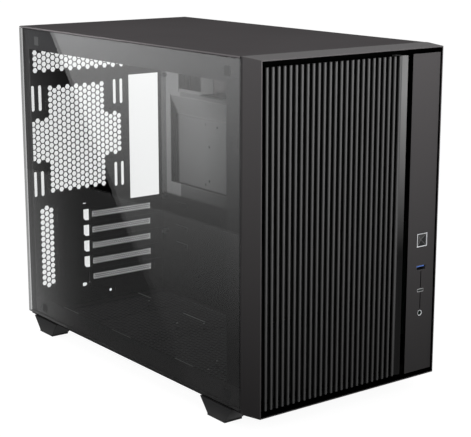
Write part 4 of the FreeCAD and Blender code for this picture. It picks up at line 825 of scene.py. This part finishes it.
class CASE_OT_floor_sheet(bpy.types.Operator):
    """Lays the floor's perforated sheet on the floor pan, with its seams and beads.

    A seam is given by the x and y of its middle and its length, and a bead by its x and y.
    """
    bl_idname = "case.floor_sheet"
    bl_label = "Floor sheet"
    LEFT, RIGHT, FRONT, REAR = -0.0740, 0.0655, -0.2000, 0.2125
    SHEET_LEVEL, SHEET_DEPTH, SHEET_LIFT = 0.0186, 0.0004, 2.0
    SEAM_LOW, SEAM_HIGH, SEAM_HALF = 0.0190, 0.0195, 0.0005
    BEAD_LEVEL, BEAD_RADIUS, BEAD_HEIGHT = 0.0189, 0.0013, 0.0012
    SEAMS = ((0.0350, 0.2040, 0.030), (0.0305, 0.0862, 0.046), (-0.0753, 0.0850, 0.041),
             (-0.0745, -0.0430, 0.035), (-0.0747, 0.2030, 0.036))
    BEADS = ((0.0015, 0.0806), (0.0258, 0.0591), (-0.0422, -0.0612), (-0.0668, -0.0784), (0.0262, 0.1805))

    def execute(self, context):
        colours = context.scene.case_colours
        sheets = context.scene.case_sheets
        pitch = sheets.floor_pitch
        along = int((self.REAR - self.FRONT) / pitch)
        across = int((self.RIGHT - self.LEFT) / (pitch * math.sqrt(3) / 2)) + 1
        points, faces = hexagon_sheet(along, across, pitch, sheets.floor_hole, self.SHEET_DEPTH)
        points = laid(points, (self.RIGHT, self.FRONT, self.SHEET_LEVEL), (0, 1, 0), (-1, 0, 0), (0, 0, 1))
        # The sheet's paler copy of the inner coat is painted light on its thin web
        paler = times(colours.tray, self.SHEET_LIFT)
        coat = powder_coat_painted_shade("case_coat_floor_sheet", paler, low=0.52, gloss=0.0)
        mesh_piece("floor_sheet", points, faces, coat, "chassis")
        seams = [slab((x - self.SEAM_HALF, y - length / 2, self.SEAM_LOW),
                      (x + self.SEAM_HALF, y + length / 2, self.SEAM_HIGH)) for x, y, length in self.SEAMS]
        beads = [bead((x, y, self.BEAD_LEVEL), self.BEAD_RADIUS, self.BEAD_HEIGHT) for x, y in self.BEADS]
        points, faces = joined(seams + beads)
        pale = powder_coat_painted_shade("case_coat_seams", colours.seams, low=0.9, gloss=0.05)
        mesh_piece("floor_seams", points, faces, pale, "chassis")
        return {"FINISHED"}


class CASE_OT_slot_covers(bpy.types.Operator):
    """Builds each slot cover: a perforated sheet in a frame of four slabs, and the lowest one's tab.

    Where the slabs end along the sheet's rim is given in shares of the pitch.
    """
    bl_idname = "case.slot_covers"
    bl_label = "Slot covers"
    GAUGE = 0.0008
    HOLED_SHARE = 0.3
    VENT_LEFT, VENT_RIGHT = -0.03005, 0.06175
    RIM_LEFT, RIM_RIGHT, RIM_LEVEL = 0.1, 0.35, 0.45
    TAB_HALF = 0.0055

    def execute(self, context):
        sheets = context.scene.case_sheets
        pitch, rows = sheets.cover_pitch, sheets.cover_rows
        columns = int((self.VENT_RIGHT - self.VENT_LEFT) / pitch) - 1
        rows_half = pitch * math.sqrt(3) / 2 * (rows - 1) / 2
        vent_half = rows_half + pitch * self.RIM_LEVEL
        frame_left = self.VENT_LEFT + pitch * self.RIM_LEFT
        frame_right = self.VENT_LEFT + columns * pitch + pitch * self.RIM_RIGHT
        cells, cell_faces = hexagon_sheet(columns, rows, pitch, sheets.cover_hole,
                                          self.GAUGE * self.HOLED_SHARE)
        for node in COVERS:
            (left, inner, foot), (right, rearmost, top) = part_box(node)
            outer = inner + self.GAUGE
            middle = middle_level(node)
            corner = (self.VENT_LEFT + pitch / 2, outer, middle - rows_half)
            parts = [
                (laid(cells, corner, (1, 0, 0), (0, 0, 1), (0, -1, 0)), cell_faces),
                slab((left, inner, foot), (frame_left, outer, top)),
                slab((frame_right, inner, foot), (right, outer, top)),
                slab((self.VENT_LEFT, inner, foot), (self.VENT_RIGHT, outer, middle - vent_half)),
                slab((self.VENT_LEFT, inner, middle + vent_half), (self.VENT_RIGHT, outer, top)),
            ]
            if rearmost - inner > 2 * self.GAUGE:
                parts.append(slab((left, inner, middle - self.TAB_HALF),
                                  (left + self.GAUGE, rearmost, middle + self.TAB_HALF)))
            points, faces = joined(parts)
            material = NODES[node].data.materials[0]
            mesh_piece(f"{node}_sheet", points, faces, material, "chassis", (node,))
        return {"FINISHED"}


class CASE_OT_thumbscrews(bpy.types.Operator):
    """Turns the knurled heads of the panel's two thumbscrews."""
    bl_idname = "case.thumbscrews"
    bl_label = "Thumbscrews"
    HEAD_LENGTH = 0.0055
    HEAD_SHARE = 0.96

    def execute(self, context):
        low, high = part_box("panel_thumbscrews")
        radius = (high[0] - low[0]) / 2
        middle, base = (low[0] + high[0]) / 2, high[1] - self.HEAD_LENGTH
        heads = [knurled_head((middle, base, level), radius * self.HEAD_SHARE, self.HEAD_LENGTH)
                 for level in (low[2] + radius, high[2] - radius)]
        points, faces = joined(heads)
        material = NODES["panel_thumbscrews"].data.materials[0]
        mesh_piece("thumbscrew_heads", points, faces, material, "chassis",
                   ("panel_thumbscrews",))
        return {"FINISHED"}


class CASE_OT_studio(bpy.types.Operator):
    """Sets the pale floor, the room light, the lamps, the reflected card and the camera."""
    bl_idname = "case.studio"
    bl_label = "Studio"
    PEAK = 1.5
    FLOOR_LEVEL, FLOOR_HALF = -0.0003, 8.0
    CARD_PLACE, CARD_FRONT, CARD_REAR, CARD_TOP = -0.62, -1.5, 2.5, 1.2
    GLASS_FACE = -0.12
    EYE_APART, EYE_DEPTH, EYE_HEIGHT = 0.746, 1.19235, 0.5013
    RAYS = ("Is Camera Ray", "Is Glossy Ray", "Is Transmission Ray")

    def lamp(self, name, power, size, place, target, spread=math.pi):
        """A soft rectangular lamp at a place, aimed at a target."""
        data = bpy.data.lights.new(name, "AREA")
        data.shape = "RECTANGLE"
        data.size, data.size_y = size
        data.energy = power
        data.spread = spread
        lamp = placed(name, data)
        lamp.location = place
        lamp.rotation_euler = (Vector(target) - Vector(place)).to_track_quat("-Z", "Y").to_euler()

    def plate(self, name, corners, material):
        """A flat piece of the stage from its four corners."""
        mesh = bpy.data.meshes.new(name)
        mesh.from_pydata(corners, [], [(0, 1, 2, 3)])
        mesh.materials.append(material)
        piece = placed(name, mesh)
        return piece

    def shining(self, finish, light):
        """White light of a level up to PEAK."""
        return finish.node("ShaderNodeEmission", Color=finish.shaded(WHITE, light / self.PEAK),
                           Strength=self.PEAK)

    def painted_reflection(self, finish):
        """A painted reflection: what the glass is to mirror at a place beside the case, a window above a dark
        room.

        A place x, y, z lies s = (GLASS_FACE - x) / EYE_APART glass distances behind the glass,
        where EYE_APART is the camera's distance from the glass, so the camera sees it mirrored
        at height (z + EYE_HEIGHT s) / (1 + s) and depth (y - EYE_DEPTH s) / (1 + s) of the glass.
        The window fades downward and ends at a slanting edge; past that edge a dim glow
        rises toward the rear.
        """
        foot, top, slant, edge = 0.0695, 0.3689, 0.769, -0.1316
        x, y, z = finish.axes("XYZ")
        apart = (self.GLASS_FACE - x) / self.EYE_APART
        level = (z + apart * self.EYE_HEIGHT) / (apart + 1.0)
        depth = (y - apart * self.EYE_DEPTH) / (apart + 1.0)
        window = finish.ramp(level, foot, top) ** 1.75 * 1.37 + 0.03
        before = depth - level * slant < edge
        glow = finish.ramp(depth, 0.070, 0.226) ** 2.0 * finish.ramp(level, 0.05, 0.36, 0.46, 0.16)
        return before * window + (1.0 - before) * glow

    def floor(self, backdrop):
        """A wide floor: white where it is seen, keeping the shadow under the feet.

        Between the glass and the card, what the glass mirrors in it is the painted window, as in the card.
        """
        seen_share, glass_clear = 0.94, -0.1255
        finish = Finish("studio_floor")
        camera, glossy, transmission = finish.outputs("ShaderNodeLightPath", self.RAYS)
        x = finish.axes("X")[0]
        beside = (x < glass_clear) * (x > self.CARD_PLACE)
        mirrored = beside * self.painted_reflection(finish) + (1.0 - beside) * backdrop
        shown = (camera + transmission).at_most(1.0)
        glow = shown * (seen_share * backdrop) + glossy * mirrored * (1.0 - shown)
        patches = finish.drift(finish.noise(2.0, 1.0))
        paint = finish.mixed(patches, (0.115, 0.115, 0.115), (0.12, 0.12, 0.12))
        matt = finish.surface(Base_Color=paint, Roughness=0.9, Specular_IOR_Level=0.0)
        material = finish.close(finish.node("ShaderNodeAddShader", n0=matt, n1=self.shining(finish, glow)))
        half, level = self.FLOOR_HALF, self.FLOOR_LEVEL
        corners = [(-half, -half, level), (half, -half, level), (half, half, level), (-half, half, level)]
        self.plate("studio_floor", corners, material)

    def card(self):
        """A wide card beside the case, glowing with a painted reflection that only the glass mirrors."""
        finish = Finish("studio_card")
        material = finish.close(self.shining(finish, self.painted_reflection(finish)))
        front, rear, top = self.CARD_FRONT, self.CARD_REAR, self.CARD_TOP
        corners = [(self.CARD_PLACE, y, z) for y, z in ((front, 0.0), (rear, 0.0), (rear, top), (front, top))]
        card = self.plate("studio_card", corners, material)
        card.visible_camera = False
        card.visible_diffuse = False
        card.visible_shadow = False
        card.visible_transmission = False

    def room(self, strength, backdrop):
        """The world: white where it is seen or mirrored, a soft even grey where it lights."""
        world = bpy.data.worlds.new("studio_room")
        bpy.context.scene.world = world
        room = Nodes(world)
        camera, glossy, transmission = room.outputs("ShaderNodeLightPath", self.RAYS)
        shown = (camera + glossy + transmission).at_most(1.0)
        level = strength + shown * (backdrop - strength)
        back = room.node("ShaderNodeBackground", Color=WHITE, Strength=level)
        room.node("ShaderNodeOutputWorld", Surface=back)

    def execute(self, context):
        studio = context.scene.case_studio
        self.floor(studio.backdrop)
        self.card()
        self.room(studio.room, studio.backdrop)
        self.lamp("key_lamp", studio.key, size=(0.7, 0.5), place=(-0.25, -1.15, 0.72),
                  target=(0.0, -0.2, 0.22))
        self.lamp("side_lamp", studio.side, size=(0.8, 0.6), place=(-1.15, 0.15, 0.62),
                  target=(-0.05, 0.10, 0.22))
        self.lamp("narrow_lamp", studio.spot, size=(0.2, 0.2), place=(-1.1, -0.10, 0.42),
                  target=(0.08, 0.165, 0.245), spread=math.radians(24))
        data = bpy.data.cameras.new("photo_camera")
        data.lens = studio.lens
        data.sensor_width = studio.sensor
        data.sensor_fit = "HORIZONTAL"
        camera = placed("photo_camera", data)
        camera.location = studio.place
        camera.rotation_euler = studio.turn
        context.scene.camera = camera
        context.scene.view_settings.view_transform = "Standard"
        return {"FINISHED"}


class CASE_PT_panel(bpy.types.Panel):
    """Lists the steps that dress the case, and their sizes and colours."""
    bl_idname = "CASE_PT_panel"
    bl_label = "Case"
    bl_space_type = "VIEW_3D"
    bl_region_type = "UI"
    bl_category = "Case"

    def draw(self, context):
        for step in STEPS:
            self.layout.operator(step.bl_idname)
        for group in GROUPS:
            values = getattr(context.scene, group)
            for name in values.bl_rna.properties.keys():
                if name not in ("rna_type", "name"):
                    self.layout.prop(values, name)


GROUPS = {"case_colours": CaseColours, "case_sheets": CaseSheets, "case_studio": CaseStudio}
STEPS = (CASE_OT_steel, CASE_OT_mouldings, CASE_OT_glass, CASE_OT_floor_sheet, CASE_OT_slot_covers,
         CASE_OT_thumbscrews, CASE_OT_studio)


def register():
    for item in (*GROUPS.values(), *STEPS, CASE_PT_panel):
        bpy.utils.register_class(item)
    for name, group in GROUPS.items():
        setattr(bpy.types.Scene, name, PointerProperty(type=group))


def unregister():
    for name in GROUPS:
        delattr(bpy.types.Scene, name)
    for item in (CASE_PT_panel, *reversed(STEPS), *GROUPS.values()):
        bpy.utils.unregister_class(item)


def main():
    register()
    bpy.ops.case.steel()
    bpy.ops.case.mouldings()
    bpy.ops.case.glass()
    bpy.ops.case.floor_sheet()
    bpy.ops.case.slot_covers()
    bpy.ops.case.thumbscrews()
    bpy.ops.case.studio()


if __name__ == "__main__":
    main()
